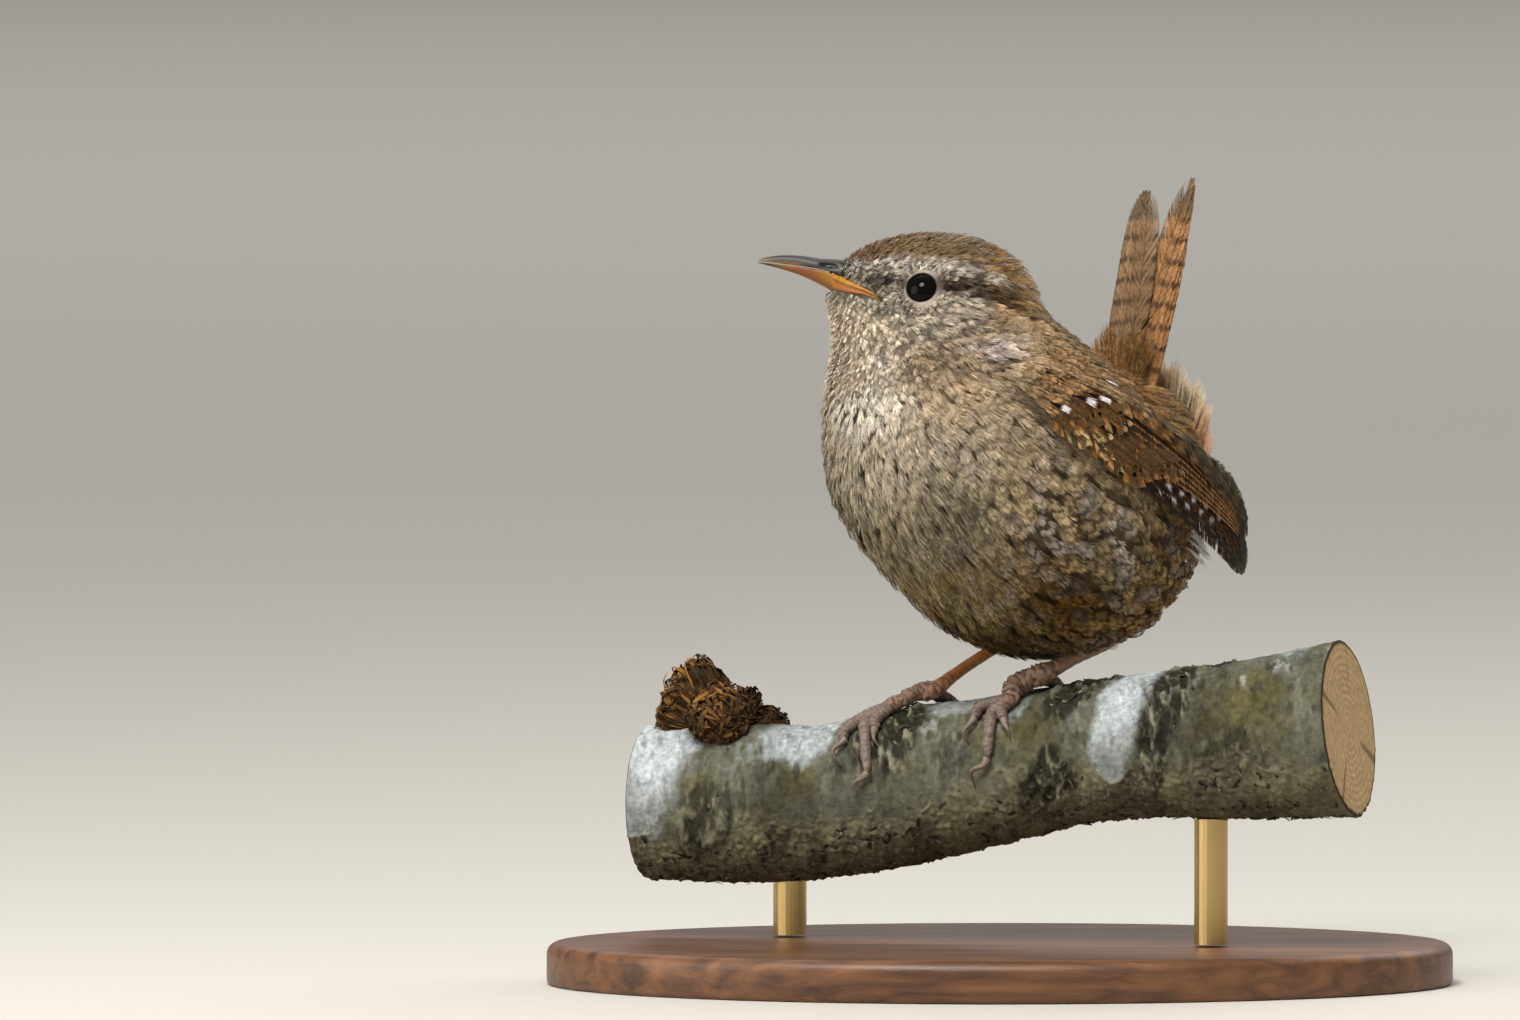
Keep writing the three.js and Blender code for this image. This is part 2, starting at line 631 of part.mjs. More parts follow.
function undertail() {
  const random = seededRandom(11);
  const core = limb(UNDERTAIL_CORE.map(([f, u]) => onBody(f, 0, u)), (q) => lerp(3.6, 2, q), 3, 8);
  const vanes = UNDERTAIL_ROWS.flatMap(({ root, tip, count, spacing }) => {
    const start = vec(root[0], 0, root[1]);
    const line = vec(tip[0], 0, tip[1]).sub(start);
    const length = line.length();
    line.normalize();
    const away = vec(-line.z, 0, line.x);
    const sheet = (along, across, layer) => {
      const place = start.clone().addScaledVector(line, along);
      place.addScaledVector(away, layer - (across * across) / (2 * UNDERTAIL_ROUNDING));
      return onBody(place.x, across, place.z);
    };
    return row(count, (k) => {
      const place = k - (count - 1) / 2;
      const reach = length - 0.7 * Math.abs(place) - 1.5 * random();
      const spec = {
        root: [0, 0.6 * spacing * place], tip: [reach, spacing * place], half: UNDERTAIL_HALF,
        lift: [0, 0.5 * (k % 2)], under: [1.5, 0.6],
      };
      return vane(sheet, spec);
    });
  });
  return unite([core, ...vanes]).subtract(clearance).subtract(tailClearance());
}

// Branch: a bent, slightly rough bole with a broken twig stub, and the space kept round it

// A smooth curve through stations [x, value, value, ...]; straight on past its ends.
function alongStations(stations, x) {
  const found = stations.findIndex(([end]) => x <= end);
  const k = found < 0 ? stations.length - 1 : Math.max(found, 1);
  const [start, end] = [stations[k - 1], stations[k]];
  const before = stations[k - 2] ?? start;
  const after = stations[k + 1] ?? end;
  const span = end[0] - start[0];
  const q = (x - start[0]) / span;
  return start.slice(1).map((value, i) => {
    const j = i + 1;
    if (q < 0 || q > 1) return lerp(value, end[j], q);
    const leave = ((end[j] - before[j]) / (end[0] - before[0])) * span;
    const arrive = ((after[j] - value) / (after[0] - start[0])) * span;
    const rise = end[j] - value;
    return value + q * (leave + q * ((3 * rise - 2 * leave - arrive) + q * (leave + arrive - 2 * rise)));
  });
}

function perchCentre(x) {
  const [height, radius] = alongStations(PERCH_STATIONS, x);
  return { centre: vec(x, PERCH_Y - Math.tan(radians(PERCH_YAW)) * x, height), radius };
}

function perchFrame(x) {
  const axis = perchCentre(x + 0.5).centre.sub(perchCentre(x - 0.5).centre).normalize();
  const up = vec(0, 0, 1).addScaledVector(axis, -axis.z).normalize();
  return { axis, up, front: up.clone().cross(axis).negate() };
}

// A place beside the branch: x, the angle from its top towards the viewer, and the lift off the bark.
function besidePerch(x, angle, lift) {
  const { centre, radius } = perchCentre(x);
  const { up, front } = perchFrame(x);
  const turn = radians(angle);
  centre.addScaledVector(up, Math.cos(turn) * (radius + lift));
  return centre.addScaledVector(front, Math.sin(turn) * (radius + lift));
}

function barkRelief(x, angle) {
  const slow = Math.sin(0.21 * x + 1.3) * Math.sin(radians(2 * angle) + 0.1 * x);
  const quick = Math.sin(0.83 * x + radians(3 * angle)) * Math.cos(0.47 * x - radians(5 * angle));
  return BARK_RELIEF * (slow + 0.7 * quick);
}

function perchBole(spare) {
  const [start, end] = [PERCH_STATIONS[0][0] - spare, PERCH_STATIONS.at(-1)[0] + spare];
  const rings = [];
  for (let k = 0; k <= PERCH_RINGS; k += 1) {
    const x = lerp(start, end, k / PERCH_RINGS);
    const ring = [];
    for (let i = 0; i < PERCH_SIDES; i += 1) {
      const angle = (360 * i) / PERCH_SIDES;
      ring.push(besidePerch(x, angle, barkRelief(x, angle) + spare));
    }
    rings.push(ring);
  }
  return solidFrom(loft(rings));
}

function stub() {
  const random = seededRandom(7);
  const foot = perchCentre(STUB_X).centre;
  const top = vec(STUB_TOP[0], foot.y, STUB_TOP[1]);
  const rings = STUB_STATIONS.map((q) => {
    const centre = foot.clone().lerp(top, q);
    const jag = q === 1 ? STUB_SPLINTER : 0.6;
    return Array.from({ length: STUB_SIDES }, (_, i) => {
      const turn = (2 * Math.PI * i) / STUB_SIDES;
      const radius = lerp(...STUB_RADII, q ** 4) * (0.9 + 0.2 * random());
      const rise = jag * (random() - 0.35 + 0.5 * (q === 1 && i % 2));
      return centre.clone().add(vec(Math.cos(turn) * radius, Math.sin(turn) * radius, rise));
    });
  });
  return solidFrom(loft(rings));
}

const perchClearance = perchBole(GAP);

// Legs and feet

const LEG = { topRadius: 1.0, lowRadius: 0.75 };
const LEFT_LEG = [[-17, 5.2, -14], [-10.8, 6, -17.8], [-5, 6, -19.9], [-0.5, 6, -21.5]];
const RIGHT_LEG = [[-9, -5.4, -14.5], [-2.9, -6, -18.8], [2, -6.4, -21.4], [6.2, -6.7, -23.7]];

// Each toe is a list of places beside the branch: x, angle and lift. Claws go on from the toes.
const LEFT_FOOT = {
  hub: [[4.9, 20, 1.5], [4.4, 33, 1.1], [3.2, 40, 0.95]],
  toes: [
    [[4.2, 33, 0.9], [0.9, 35, 0.8], [0.2, 46, 0.7]],
    [[4.0, 36, 0.9], [2.5, 44, 0.8], [2.1, 60, 0.8], [1.6, 80, 0.75]],
    [[4.2, 35, 0.9], [3.5, 42, 0.8], [3.8, 52, 0.7]],
    [[5.6, 14, 1.4], [7.0, -8, 0.9], [7.4, -32, 0.8], [7.2, -56, 0.75]],
  ],
  claws: [
    [[-0.2, 51, 0.75], [-0.9, 58, 0.95], [-0.4, 66, 0.35]],
    [[1.0, 85, 0.9], [-0.4, 88, 1.2], [-0.5, 102, 0.35]],
    [[4.0, 57, 0.75], [4.3, 62, 0.8], [4.4, 69, 0.35]],
    [[7.2, -62, 0.85], [6.9, -76, 1.1], [6.4, -88, 0.35]],
  ],
};
const RIGHT_FOOT = {
  hub: [[-7.4, 6, 1.6], [-9.4, 14, 1.1], [-11.6, 25, 0.95]],
  toes: [
    [[-10.6, 20, 0.9], [-13.3, 30, 0.8], [-15.0, 40, 0.8], [-14.8, 47, 0.7]],
    [[-10.8, 22, 0.9], [-12.5, 32, 0.8], [-12.4, 52, 0.8], [-12.3, 76, 0.75]],
    [[-10.4, 22, 0.9], [-11.5, 33, 0.8], [-11.5, 43, 0.7]],
    [[-6.6, 0, 1.4], [-5.6, -18, 0.9], [-5.4, -40, 0.8], [-5.6, -62, 0.75]],
  ],
  claws: [
    [[-15.2, 50, 0.8], [-16.1, 57, 1.1], [-15.2, 68, 0.35]],
    [[-12.9, 79, 0.9], [-13.9, 83, 1.2], [-12.6, 93, 0.35]],
    [[-11.5, 47, 0.75], [-11.4, 52, 0.8], [-11.0, 58, 0.35]],
    [[-5.6, -68, 0.85], [-5.9, -82, 1.1], [-6.4, -94, 0.35]],
  ],
};

const TOE_RADIUS = 0.68;
const CLAW_RADIUS = 0.42;
const besidePoints = (list) => list.map((place) => besidePerch(...place));

function legSolid(points) {
  const whole = limb(points, (q) => lerp(LEG.topRadius, LEG.lowRadius, Math.min(1, 2 * q)), 10, 8);
  return whole.subtract(clearance);
}

function footSolid(leg, foot, clearOf) {
  const joint = leg.at(-1);
  const shin = leg.at(-2);
  const start = joint.clone().addScaledVector(joint.clone().sub(shin).normalize(), GAP);
  const hub = limb([start, ...besidePoints(foot.hub)], (q) => lerp(1.0, 0.75, q), 5, 7);
  const toeRadius = (q) => TOE_RADIUS * (1.05 - 0.15 * q);
  const toes = foot.toes.map((places) => limb(besidePoints(places), toeRadius, 6, 6));
  const whole = unite([hub, ...toes]).subtract(perchClearance);
  return clearOf.reduce((rest, piece) => rest.subtract(piece), whole);
}

function clawSolid(places) {
  return limb(besidePoints(places), (q) => CLAW_RADIUS * (1 - 0.85 * q), 5, 5, true).subtract(perchClearance);
}

// Display stand

function baseSolid() {
  const inset = BASE_BEVEL;
  const shape = new THREE.Shape();
  shape.absellipse(0, 0, BASE_LENGTH / 2 - inset, BASE_WIDTH / 2 - inset, 0, 2 * Math.PI);
  const geometry = new THREE.ExtrudeGeometry(shape, {
    depth: BASE_HEIGHT - inset, curveSegments: 24, bevelEnabled: true, bevelThickness: inset,
    bevelSize: inset, bevelSegments: 1,
  });
  const block = new THREE.BoxGeometry(2 * BASE_LENGTH, 2 * BASE_WIDTH, 2 * BASE_HEIGHT);
  block.translate(0, 0, -BASE_HEIGHT);
  return solidFrom(geometry).subtract(solidFrom(block));
}

function rodSolid(x) {
  const foot = BASE_HEIGHT + GAP;
  const { centre } = perchCentre(x);
  const height = centre.z - foot;
  const geometry = new THREE.CylinderGeometry(ROD_RADIUS, ROD_RADIUS, height, 24);
  geometry.rotateX(Math.PI / 2);
  geometry.translate(centre.x, centre.y, foot + height / 2);
  return solidFrom(geometry).subtract(perchClearance);
}

// Assembly

const wren = new THREE.Group();

const eyes = [1, -1].map(eyePlace);
const sockets = eyes.map(({ centre }) => ball(centre, EYE_RADIUS + GAP, 18));
const headSolid = sockets.reduce(
  (rest, socket) => rest.subtract(socket),
  unite([headForm.intersect(above(HEAD_PLANE)), ...eyes.map(lidRing), ...lips(1, 0), ...lips(-1, 0)]),
);
wren.add(node('head', headSolid, material(COLOURS.crown)));
const neckSolid = bodyForm.intersect(below(HEAD_PLANE)).intersect(above(NECK_PLANE));
const torsoSolid = bodyForm.intersect(below(NECK_PLANE)).intersect(below(RUMP_PLANE));
wren.add(node('neck', neckSolid, material(COLOURS.cheek)));
wren.add(node('torso', torsoSolid, material(COLOURS.breast)));
wren.add(node('rump', bodyForm.intersect(above(RUMP_PLANE)), material(COLOURS.rump)));
['left', 'right'].forEach((side, i) => {
  wren.add(node(`eye_${side}`, ball(eyes[i].centre, EYE_RADIUS, 18), material(COLOURS.eye, 0.05)));
});

const upperBill = [1, -1].map(nostril).reduce((rest, slit) => rest.subtract(slit), mandible(true));
wren.add(node('bill_upper', upperBill, material(COLOURS.billUpper, 0.45)));
wren.add(node('bill_lower', mandible(false), material(COLOURS.billLower, 0.45)));

wren.add(node('wing_left', wing(1), material(COLOURS.wing)));
wren.add(node('wing_right', wing(-1), material(COLOURS.wing)));
wren.add(node('tail', tail(), material(COLOURS.tail)));
wren.add(node('undertail', undertail(), material(COLOURS.undertail)));

[['left', LEFT_LEG, LEFT_FOOT], ['right', RIGHT_LEG, RIGHT_FOOT]].forEach(([side, places, foot]) => {
  const leg = places.map((place) => onBody(...place));
  const legShape = legSolid(leg);
  const wideLeg = limb(leg, () => LEG.lowRadius + GAP + 0.1, 10, 8);
  const claws = foot.claws.map(clawSolid);
  const roomForClaws = foot.claws.map((list) => limb(
    besidePoints(list), (q) => CLAW_RADIUS * (1 - 0.85 * q) + GAP, 5, 5,
  ));
  wren.add(node(`leg_${side}`, legShape, material(COLOURS.leg, 0.6)));
  const footShape = footSolid(leg, foot, [wideLeg, ...roomForClaws]);
  wren.add(node(`foot_${side}`, footShape, material(COLOURS.foot, 0.6)));
  claws.forEach((claw, i) => wren.add(node(`claw_${side}_${i + 1}`, claw, material(COLOURS.claw, 0.4))));
});

wren.add(node('perch', perchBole(0).add(stub()), material(COLOURS.bark)));
wren.add(node('stand_base', baseSolid(), material(COLOURS.wood, 0.5)));
ROD_X.forEach((x, i) => wren.add(node(`stand_rod_${i + 1}`, rodSolid(x), material(COLOURS.metal, 0.3, 1))));

export default wren;
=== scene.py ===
"""A wren on a cut length of birch branch, held by a plain wooden display stand.

The solids come in as a fixed frame. One skin covers the head and the body, and a coat of feathers
grows on it. Wings, tail, bill, lids, legs, bark and base are modelled in finer detail over the solids.
Lengths are millimetres, +Z is up, and the bill points towards -X. Places on the bird are
(forward, left, up) from the centre of its body or of its head.
"""

import itertools
import math

import bpy
import numpy as np
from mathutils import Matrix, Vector


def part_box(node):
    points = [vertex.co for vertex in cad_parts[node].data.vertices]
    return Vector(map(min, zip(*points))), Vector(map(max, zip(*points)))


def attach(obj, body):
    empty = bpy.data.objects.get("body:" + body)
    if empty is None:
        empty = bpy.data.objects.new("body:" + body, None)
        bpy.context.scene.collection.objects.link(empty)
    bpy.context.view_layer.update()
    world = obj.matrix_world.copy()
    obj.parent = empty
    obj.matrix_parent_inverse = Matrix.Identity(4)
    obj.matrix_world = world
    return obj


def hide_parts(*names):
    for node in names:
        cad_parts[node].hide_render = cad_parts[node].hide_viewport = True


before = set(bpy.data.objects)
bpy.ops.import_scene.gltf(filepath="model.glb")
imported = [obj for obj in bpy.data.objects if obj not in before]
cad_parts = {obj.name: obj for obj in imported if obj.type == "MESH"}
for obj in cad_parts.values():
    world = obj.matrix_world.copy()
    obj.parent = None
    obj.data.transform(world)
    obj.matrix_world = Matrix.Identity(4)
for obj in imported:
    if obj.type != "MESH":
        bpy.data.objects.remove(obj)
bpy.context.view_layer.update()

MM = 0.001
BODY = "root"
BAKE_MAP = "OFBake"
PATCH = 0.003
PIECE_LIMIT = 190_000

# Where the body and the head are and which way they face, as in the solids
BODY_YAW = 38
HEAD_YAW = 4
BODY_CENTRE = np.array([1.4, 1.0, 58.9])
HEAD_CENTRE = np.array([-7.6, -5.0, 79.9])
CORE_OFFSET = (3, 0, 5)

SKIN_GRID = 220
SKIN_REACH = 62
SKIN_DEPTH = 1.5
FACE_DEPTH = 0.75

rng = np.random.default_rng(7)


def unit(vectors):
    return vectors / np.maximum(np.linalg.norm(vectors, axis=-1, keepdims=True), 1e-9)


def smooth(low, high, values):
    share = np.clip((values - low) / (high - low), 0, 1)
    return share * share * (3 - 2 * share)


def mix(a, b, share):
    """a where share is 0, b where it is 1; share has one axis fewer than the colours."""
    share = np.asarray(share)[..., None]
    return a * (1 - share) + b * share


def rgb(red, green, blue):
    """A linear colour from 0 to 255 values as a screen shows them."""
    screen = np.array([red, green, blue]) / 255
    return np.where(screen <= 0.04045, screen / 12.92, ((screen + 0.055) / 1.055) ** 2.4)


def heading(yaw):
    """Rows forward, left and up of something that faces yaw degrees from -X towards -Y."""
    turn = math.radians(yaw)
    return np.array([
        [-math.cos(turn), -math.sin(turn), 0],
        [math.sin(turn), -math.cos(turn), 0],
        [0, 0, 1],
    ])


BODY_AXES = heading(BODY_YAW)
HEAD_AXES = heading(HEAD_YAW)


def on_body(place):
    return BODY_CENTRE + np.asarray(place, float) @ BODY_AXES


def on_head(place):
    return HEAD_CENTRE + np.asarray(place, float) @ HEAD_AXES


def body_places(points):
    return (points - BODY_CENTRE) @ BODY_AXES.T


def head_places(points):
    return (points - HEAD_CENTRE) @ HEAD_AXES.T


def head_parts(points):
    """How far forward, left and up of the head's centre points lie, as three arrays."""
    return np.moveaxis(head_places(points), -1, 0)


def stacked(*values):
    """Arrays of shapes that fit one another, joined along a new last axis."""
    return np.stack(np.broadcast_arrays(*values), axis=-1)


def read_table(table, at, column):
    """The column of a table, whose first column rises, at values of the first."""
    return np.interp(at, table[:, 0], table[:, column])


def noise(points, cell, seed=0):
    """Smooth random values from -1 to 1 over a lattice with cells of that size."""
    scaled = np.asarray(points) / cell
    corner = np.floor(scaled).astype(np.int64)
    inside = scaled - corner
    inside = inside * inside * (3 - 2 * inside)
    total = np.zeros(scaled.shape[:-1])
    for step in itertools.product((0, 1), repeat=3):
        x, y, z = np.moveaxis(corner + step, -1, 0)
        mixed = (x * 374761393 + y * 668265263 + z * 1440670441 + seed * 1274126177) & 0xFFFFFFFF
        mixed = ((mixed ^ (mixed >> 13)) * 1274126177) & 0xFFFFFFFF
        value = ((mixed ^ (mixed >> 16)) & 0xFFFF) / 32767.5 - 1
        weight = np.prod(np.where(np.array(step) == 1, inside, 1 - inside), axis=-1)
        total += weight * value
    return total


def fractal(points, cell, octaves=3, seed=0):
    total = sum(noise(points, cell / 2**k, seed + k) / 2**k for k in range(octaves))
    return total / (2 - 0.5 ** (octaves - 1))


# Meshes from arrays

def build(name, points, faces, finish, tint=None, uv=None, marks=None):
    """One object of triangles or quads; tint is a colour and marks three numbers for each point."""
    mesh = bpy.data.meshes.new(name)
    mesh.vertices.add(len(points))
    mesh.vertices.foreach_set("co", (np.asarray(points) * MM).astype(np.float32).ravel())
    mesh.loops.add(faces.size)
    mesh.loops.foreach_set("vertex_index", faces.astype(np.int32).ravel())
    mesh.polygons.add(len(faces))
    starts = np.arange(0, faces.size, faces.shape[1], dtype=np.int32)
    mesh.polygons.foreach_set("loop_start", starts)
    mesh.polygons.foreach_set("use_smooth", np.ones(len(faces), bool))
    mesh.update(calc_edges=True)
    if tint is not None:
        layer = mesh.color_attributes.new("tint", "FLOAT_COLOR", "POINT")
        colours = np.ones((len(points), 4), np.float32)
        colours[:, :3] = np.clip(tint, 0, 1)
        layer.data.foreach_set("color", colours.ravel())
    if marks is not None:
        layer = mesh.attributes.new("marks", "FLOAT_VECTOR", "POINT")
        layer.data.foreach_set("vector", marks.astype(np.float32).ravel())
    if uv is not None:
        layer = mesh.uv_layers.new(name=BAKE_MAP)
        layer.uv.foreach_set("vector", uv[faces.ravel()].astype(np.float32).ravel())
    mesh.materials.append(finish)
    thing = bpy.data.objects.new(name, mesh)
    bpy.context.scene.collection.objects.link(thing)
    return thing


def place(thing, slot, *nodes):
    """thing rides on the model and stands for CAD nodes, which it hides; slot is not used."""
    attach(thing, BODY)
    if nodes:
        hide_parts(*nodes)
    return thing


def strips(centres, sides, widths, pointed):
    """Ribbons: centres and sides are (ribbons, stations, 3), widths are half widths.

    Returns points, triangles and, for each point, its ribbon and station.
    """
    count, stations, _ = centres.shape
    edge = sides * widths[..., None]
    per = 2 * stations - 1 if pointed else 2 * stations
    points = np.empty((count, per, 3))
    last = stations - 1 if pointed else stations
    points[:, 0 : 2 * last : 2] = (centres - edge)[:, :last]
    points[:, 1 : 2 * last : 2] = (centres + edge)[:, :last]
    if pointed:
        points[:, -1] = centres[:, -1]
    pattern = []
    for k in range(stations - 1):
        a = 2 * k
        if pointed and k == stations - 2:
            pattern.append((a, a + 1, a + 2))
        else:
            pattern += [(a, a + 1, a + 3), (a, a + 3, a + 2)]
    faces = np.array(pattern)[None] + (np.arange(count) * per)[:, None, None]
    station = np.repeat(np.arange(stations), 2)[:per]
    index = np.arange(count)[:, None] * stations + station[None]
    return points.reshape(-1, 3), faces.reshape(-1, 3), index.ravel()


class Pile:
    """Strips of one coat, gathered with their colours, marks and bake patches.

    The marks of a point are its distance from the feather's tip in mm, the strength of the bars there
    and a number of the feather's own.
    """

    def __init__(self):
        self.parts = []
        self.count = 0

    def add(self, centres, sides, widths, tints, marks, patches, pointed=True):
        points, faces, index = strips(centres, sides, widths, pointed)
        traits = (tints.reshape(-1, 3)[index], marks.reshape(-1, 3)[index], patches.reshape(-1, 2)[index])
        self.parts.append((points, faces + self.count, *traits))
        self.count += len(points)

    def pieces(self, name, finish, slot, *nodes, baked=True):
        """The pile as one or more objects, each under the limit of triangles."""
        points, faces, tints, marks, patches = map(np.concatenate, zip(*self.parts))
        parts = max(1, math.ceil(len(faces) / PIECE_LIMIT))
        for k, share in enumerate(np.array_split(faces, parts)):
            used, order = np.unique(share, return_inverse=True)
            order = order.reshape(share.shape)
            label = f"{name}_{k + 1}" if parts > 1 else name
            flat = patches[used] if baked else None
            thing = build(label, points[used], order, finish, tints[used], flat, marks[used])
            place(thing, slot, *(nodes if k == 0 else ()))


def tube(path, radii, sides):
    """Rings of points round a path, as a grid (stations, sides, 3)."""
    tangents = unit(np.gradient(path, axis=0))
    normal = unit(np.cross(tangents[0], [0.31, 0.17, 0.93]))
    normals = []
    for tangent in tangents:
        normal = unit(normal - tangent * (normal @ tangent))
        normals.append(normal)
    normals = np.array(normals)[:, None]
    across = np.cross(tangents[:, None], normals)
    turn = full_turn(sides)[:, None]
    return path[:, None] + radii[:, None, None] * (normals * np.cos(turn) + across * np.sin(turn))


def full_turn(count):
    """Angles of count even steps round a circle."""
    return np.linspace(0, 2 * math.pi, count, endpoint=False)


def grid_faces(rows, columns, wrapped=True):
    """Quads of a grid of points, joined round its columns when wrapped."""
    last = columns if wrapped else columns - 1
    row, column = np.meshgrid(np.arange(rows - 1), np.arange(last), indexing="ij")
    after = (column + 1) % columns
    corners = [(row, column), (row, after), (row + 1, after), (row + 1, column)]
    return np.stack([down * columns + over for down, over in corners], axis=-1).reshape(-1, 4)


def shell(name, rings, tint, finish, slot, *nodes):
    """Rings of points joined to one surface, placed on the model."""
    if tint is not None:
        tint = tint.reshape(-1, 3)
    thing = build(name, rings.reshape(-1, 3), grid_faces(*rings.shape[:2]), finish, tint)
    return place(thing, slot, *nodes)


def ball_ways(fall, turn):
    """Directions that lie fall away from straight up, at turn round it."""
    return stacked(np.sin(fall) * np.cos(turn), np.sin(fall) * np.sin(turn), np.cos(fall))


def curve(points, count):
    """A smooth curve through points, as count places."""
    points = np.asarray(points, float)
    padded = np.vstack([2 * points[0] - points[1], points, 2 * points[-1] - points[-2]])
    spans = len(points) - 1
    at = np.linspace(0, spans, count)
    k = np.minimum(at.astype(int), spans - 1)
    t = (at - k)[:, None]
    a, b, c, d = padded[k], padded[k + 1], padded[k + 2], padded[k + 3]
    return 0.5 * (2 * b + (c - a) * t + (2 * a - 5 * b + 4 * c - d) * t**2 + (3 * b - a - 3 * c + d) * t**3)


# The form: ellipsoids that blend into one another

def ellipsoid(centre, yaw, pitch, radii, blend):
    level, left, rise = heading(yaw)
    tilt = math.radians(pitch)
    axes = np.array([
        level * math.cos(tilt) + rise * math.sin(tilt),
        left,
        rise * math.cos(tilt) - level * math.sin(tilt),
    ])
    return centre, axes, np.array(radii, float), blend


NECK_YAW = (BODY_YAW + HEAD_YAW) / 2
NECK_CENTRE = (on_body((5, 0, 13)) + on_head((-1, 0, -4))) / 2
FORM = [
    ellipsoid(on_body((-1, 0, 0.5)), BODY_YAW, 38, (23, 20.5, 18), 0),
    ellipsoid(on_body((9.6, 0, 6)), BODY_YAW, 80, (15.5, 16, 12.8), 7),
    ellipsoid(on_body((-5, 0, -8.2)), BODY_YAW, -5, (14, 15, 10.2), 6),
    ellipsoid(on_body((-13, 0, -3)), BODY_YAW, -60, (12, 13.5, 10), 6),
    ellipsoid(on_body((-15, 0, 3.4)), BODY_YAW, -50, (10, 10.5, 7.5), 7),
    ellipsoid(NECK_CENTRE, NECK_YAW, 60, (12, 11.5, 10.5), 6),
    ellipsoid(on_head((0.4, 0, 1.2)), HEAD_YAW, -10, (10.3, 8.6, 8.7), 5),
    ellipsoid(on_head((6, 0, 2.6)), HEAD_YAW, 0, (7, 4.8, 5.4), 4.5),
    ellipsoid(on_head((-3.4, 0, 2.0)), HEAD_YAW, -6, (8.3, 6.7, 6.2), 2.5),
    ellipsoid(on_head((5.5, 0, -5.5)), HEAD_YAW, -60, (8.6, 6.2, 5.6), 5),
]


def depth(points):
    """Signed distance to the blended form, in any shape of array whose last axis is x, y, z."""
    whole = None
    for centre, axes, radii, blend in FORM:
        reach = (points - centre) @ axes.T / radii
        near = np.linalg.norm(reach, axis=-1)
        slope = np.linalg.norm(reach / radii, axis=-1)
        distance = near * (near - 1) / np.maximum(slope, 1e-9)
        if whole is None:
            whole = distance
            continue
        merge = np.maximum(blend - np.abs(whole - distance), 0) / blend
        whole = np.minimum(whole, distance) - merge * merge * blend / 4
    return whole


def outward(points, step=0.05):
    slope = [depth(points + axis) - depth(points - axis) for axis in np.eye(3) * step]
    return unit(np.stack(slope, axis=-1))


def to_level(points, level, rounds=2):
    """Points moved along the form's slope to a level above it, and the directions outwards there."""
    for _ in range(rounds):
        normals = outward(points)
        points = points + normals * (level - depth(points))[..., None]
    return points, normals


# The unwrap: directions from a core that rises from the body into the head

BODY_CORE = on_body(CORE_OFFSET)
HEAD_CORE = on_head((0.5, 0, 0))
CORE_AXIS = unit(HEAD_CORE - BODY_CORE)


def directions(square):
    """The sphere of directions, unfolded to the square from -1 to 1."""
    x, y = square[..., 0], square[..., 1]
    z = 1 - np.abs(x) - np.abs(y)
    fold = np.maximum(-z, 0)
    return unit(np.stack([x - np.sign(x) * fold, y - np.sign(y) * fold, z], axis=-1))


def skin_level(points):
    """How deep the skin lies under the tips of the coat: less on the face."""
    forward, _, up = head_parts(points)
    face = smooth(-9, 3, forward) * smooth(-14, -3, up)
    return -(SKIN_DEPTH + (FACE_DEPTH - SKIN_DEPTH) * face)


def on_skin(square):
    """The skin's points for places on the square."""
    way = directions(square)
    rise = smooth(0.15, 0.97, way @ CORE_AXIS)[..., None]
    core = BODY_CORE * (1 - rise) + HEAD_CORE * rise
    far = np.full(way.shape[:-1], float(SKIN_REACH))
    step = 2.0
    for _ in range(int(SKIN_REACH / step) - 1):
        points = core + way * far[..., None]
        far = np.where(depth(points) > skin_level(points), far - step, far)
    near, far = far, far + step
    for _ in range(12):
        middle = (near + far) / 2
        points = core + way * middle[..., None]
        inside = depth(points) < skin_level(points)
        near, far = np.where(inside, middle, near), np.where(inside, far, middle)
    return core + way * ((near + far) / 2)[..., None]


def bake_place(square):
    return 0.5 + 0.49 * square


# Markings of the plumage

COLOURS = {
    "crown": rgb(129, 107, 80), "forehead": rgb(115, 84, 58), "brow": rgb(166, 156, 144),
    "stripe": rgb(49, 31, 13), "cheek": rgb(165, 153, 136), "ear rear": rgb(166, 139, 103),
    "lore": rgb(141, 133, 117), "throat": rgb(210, 200, 184), "chin": rgb(199, 184, 162),
    "upper breast": rgb(205, 196, 180), "breast": rgb(169, 156, 134), "breast side": rgb(161, 148, 127),
    "shoulder": rgb(172, 149, 120), "neck streak": rgb(211, 197, 185),
    "neck side": rgb(158, 138, 114), "nape": rgb(130, 100, 61),
    "mantle": rgb(150, 126, 94), "back": rgb(146, 114, 74), "rump": rgb(148, 110, 68),
    "belly left": rgb(154, 139, 112), "grey belly": rgb(132, 122, 98), "belly": rgb(154, 135, 92),
    "low belly": rgb(94, 76, 37), "flank": rgb(183, 162, 126), "low flank": rgb(116, 84, 33),
    "rear": rgb(184, 150, 100), "vent": rgb(164, 140, 108), "dark": rgb(40, 29, 17),
}

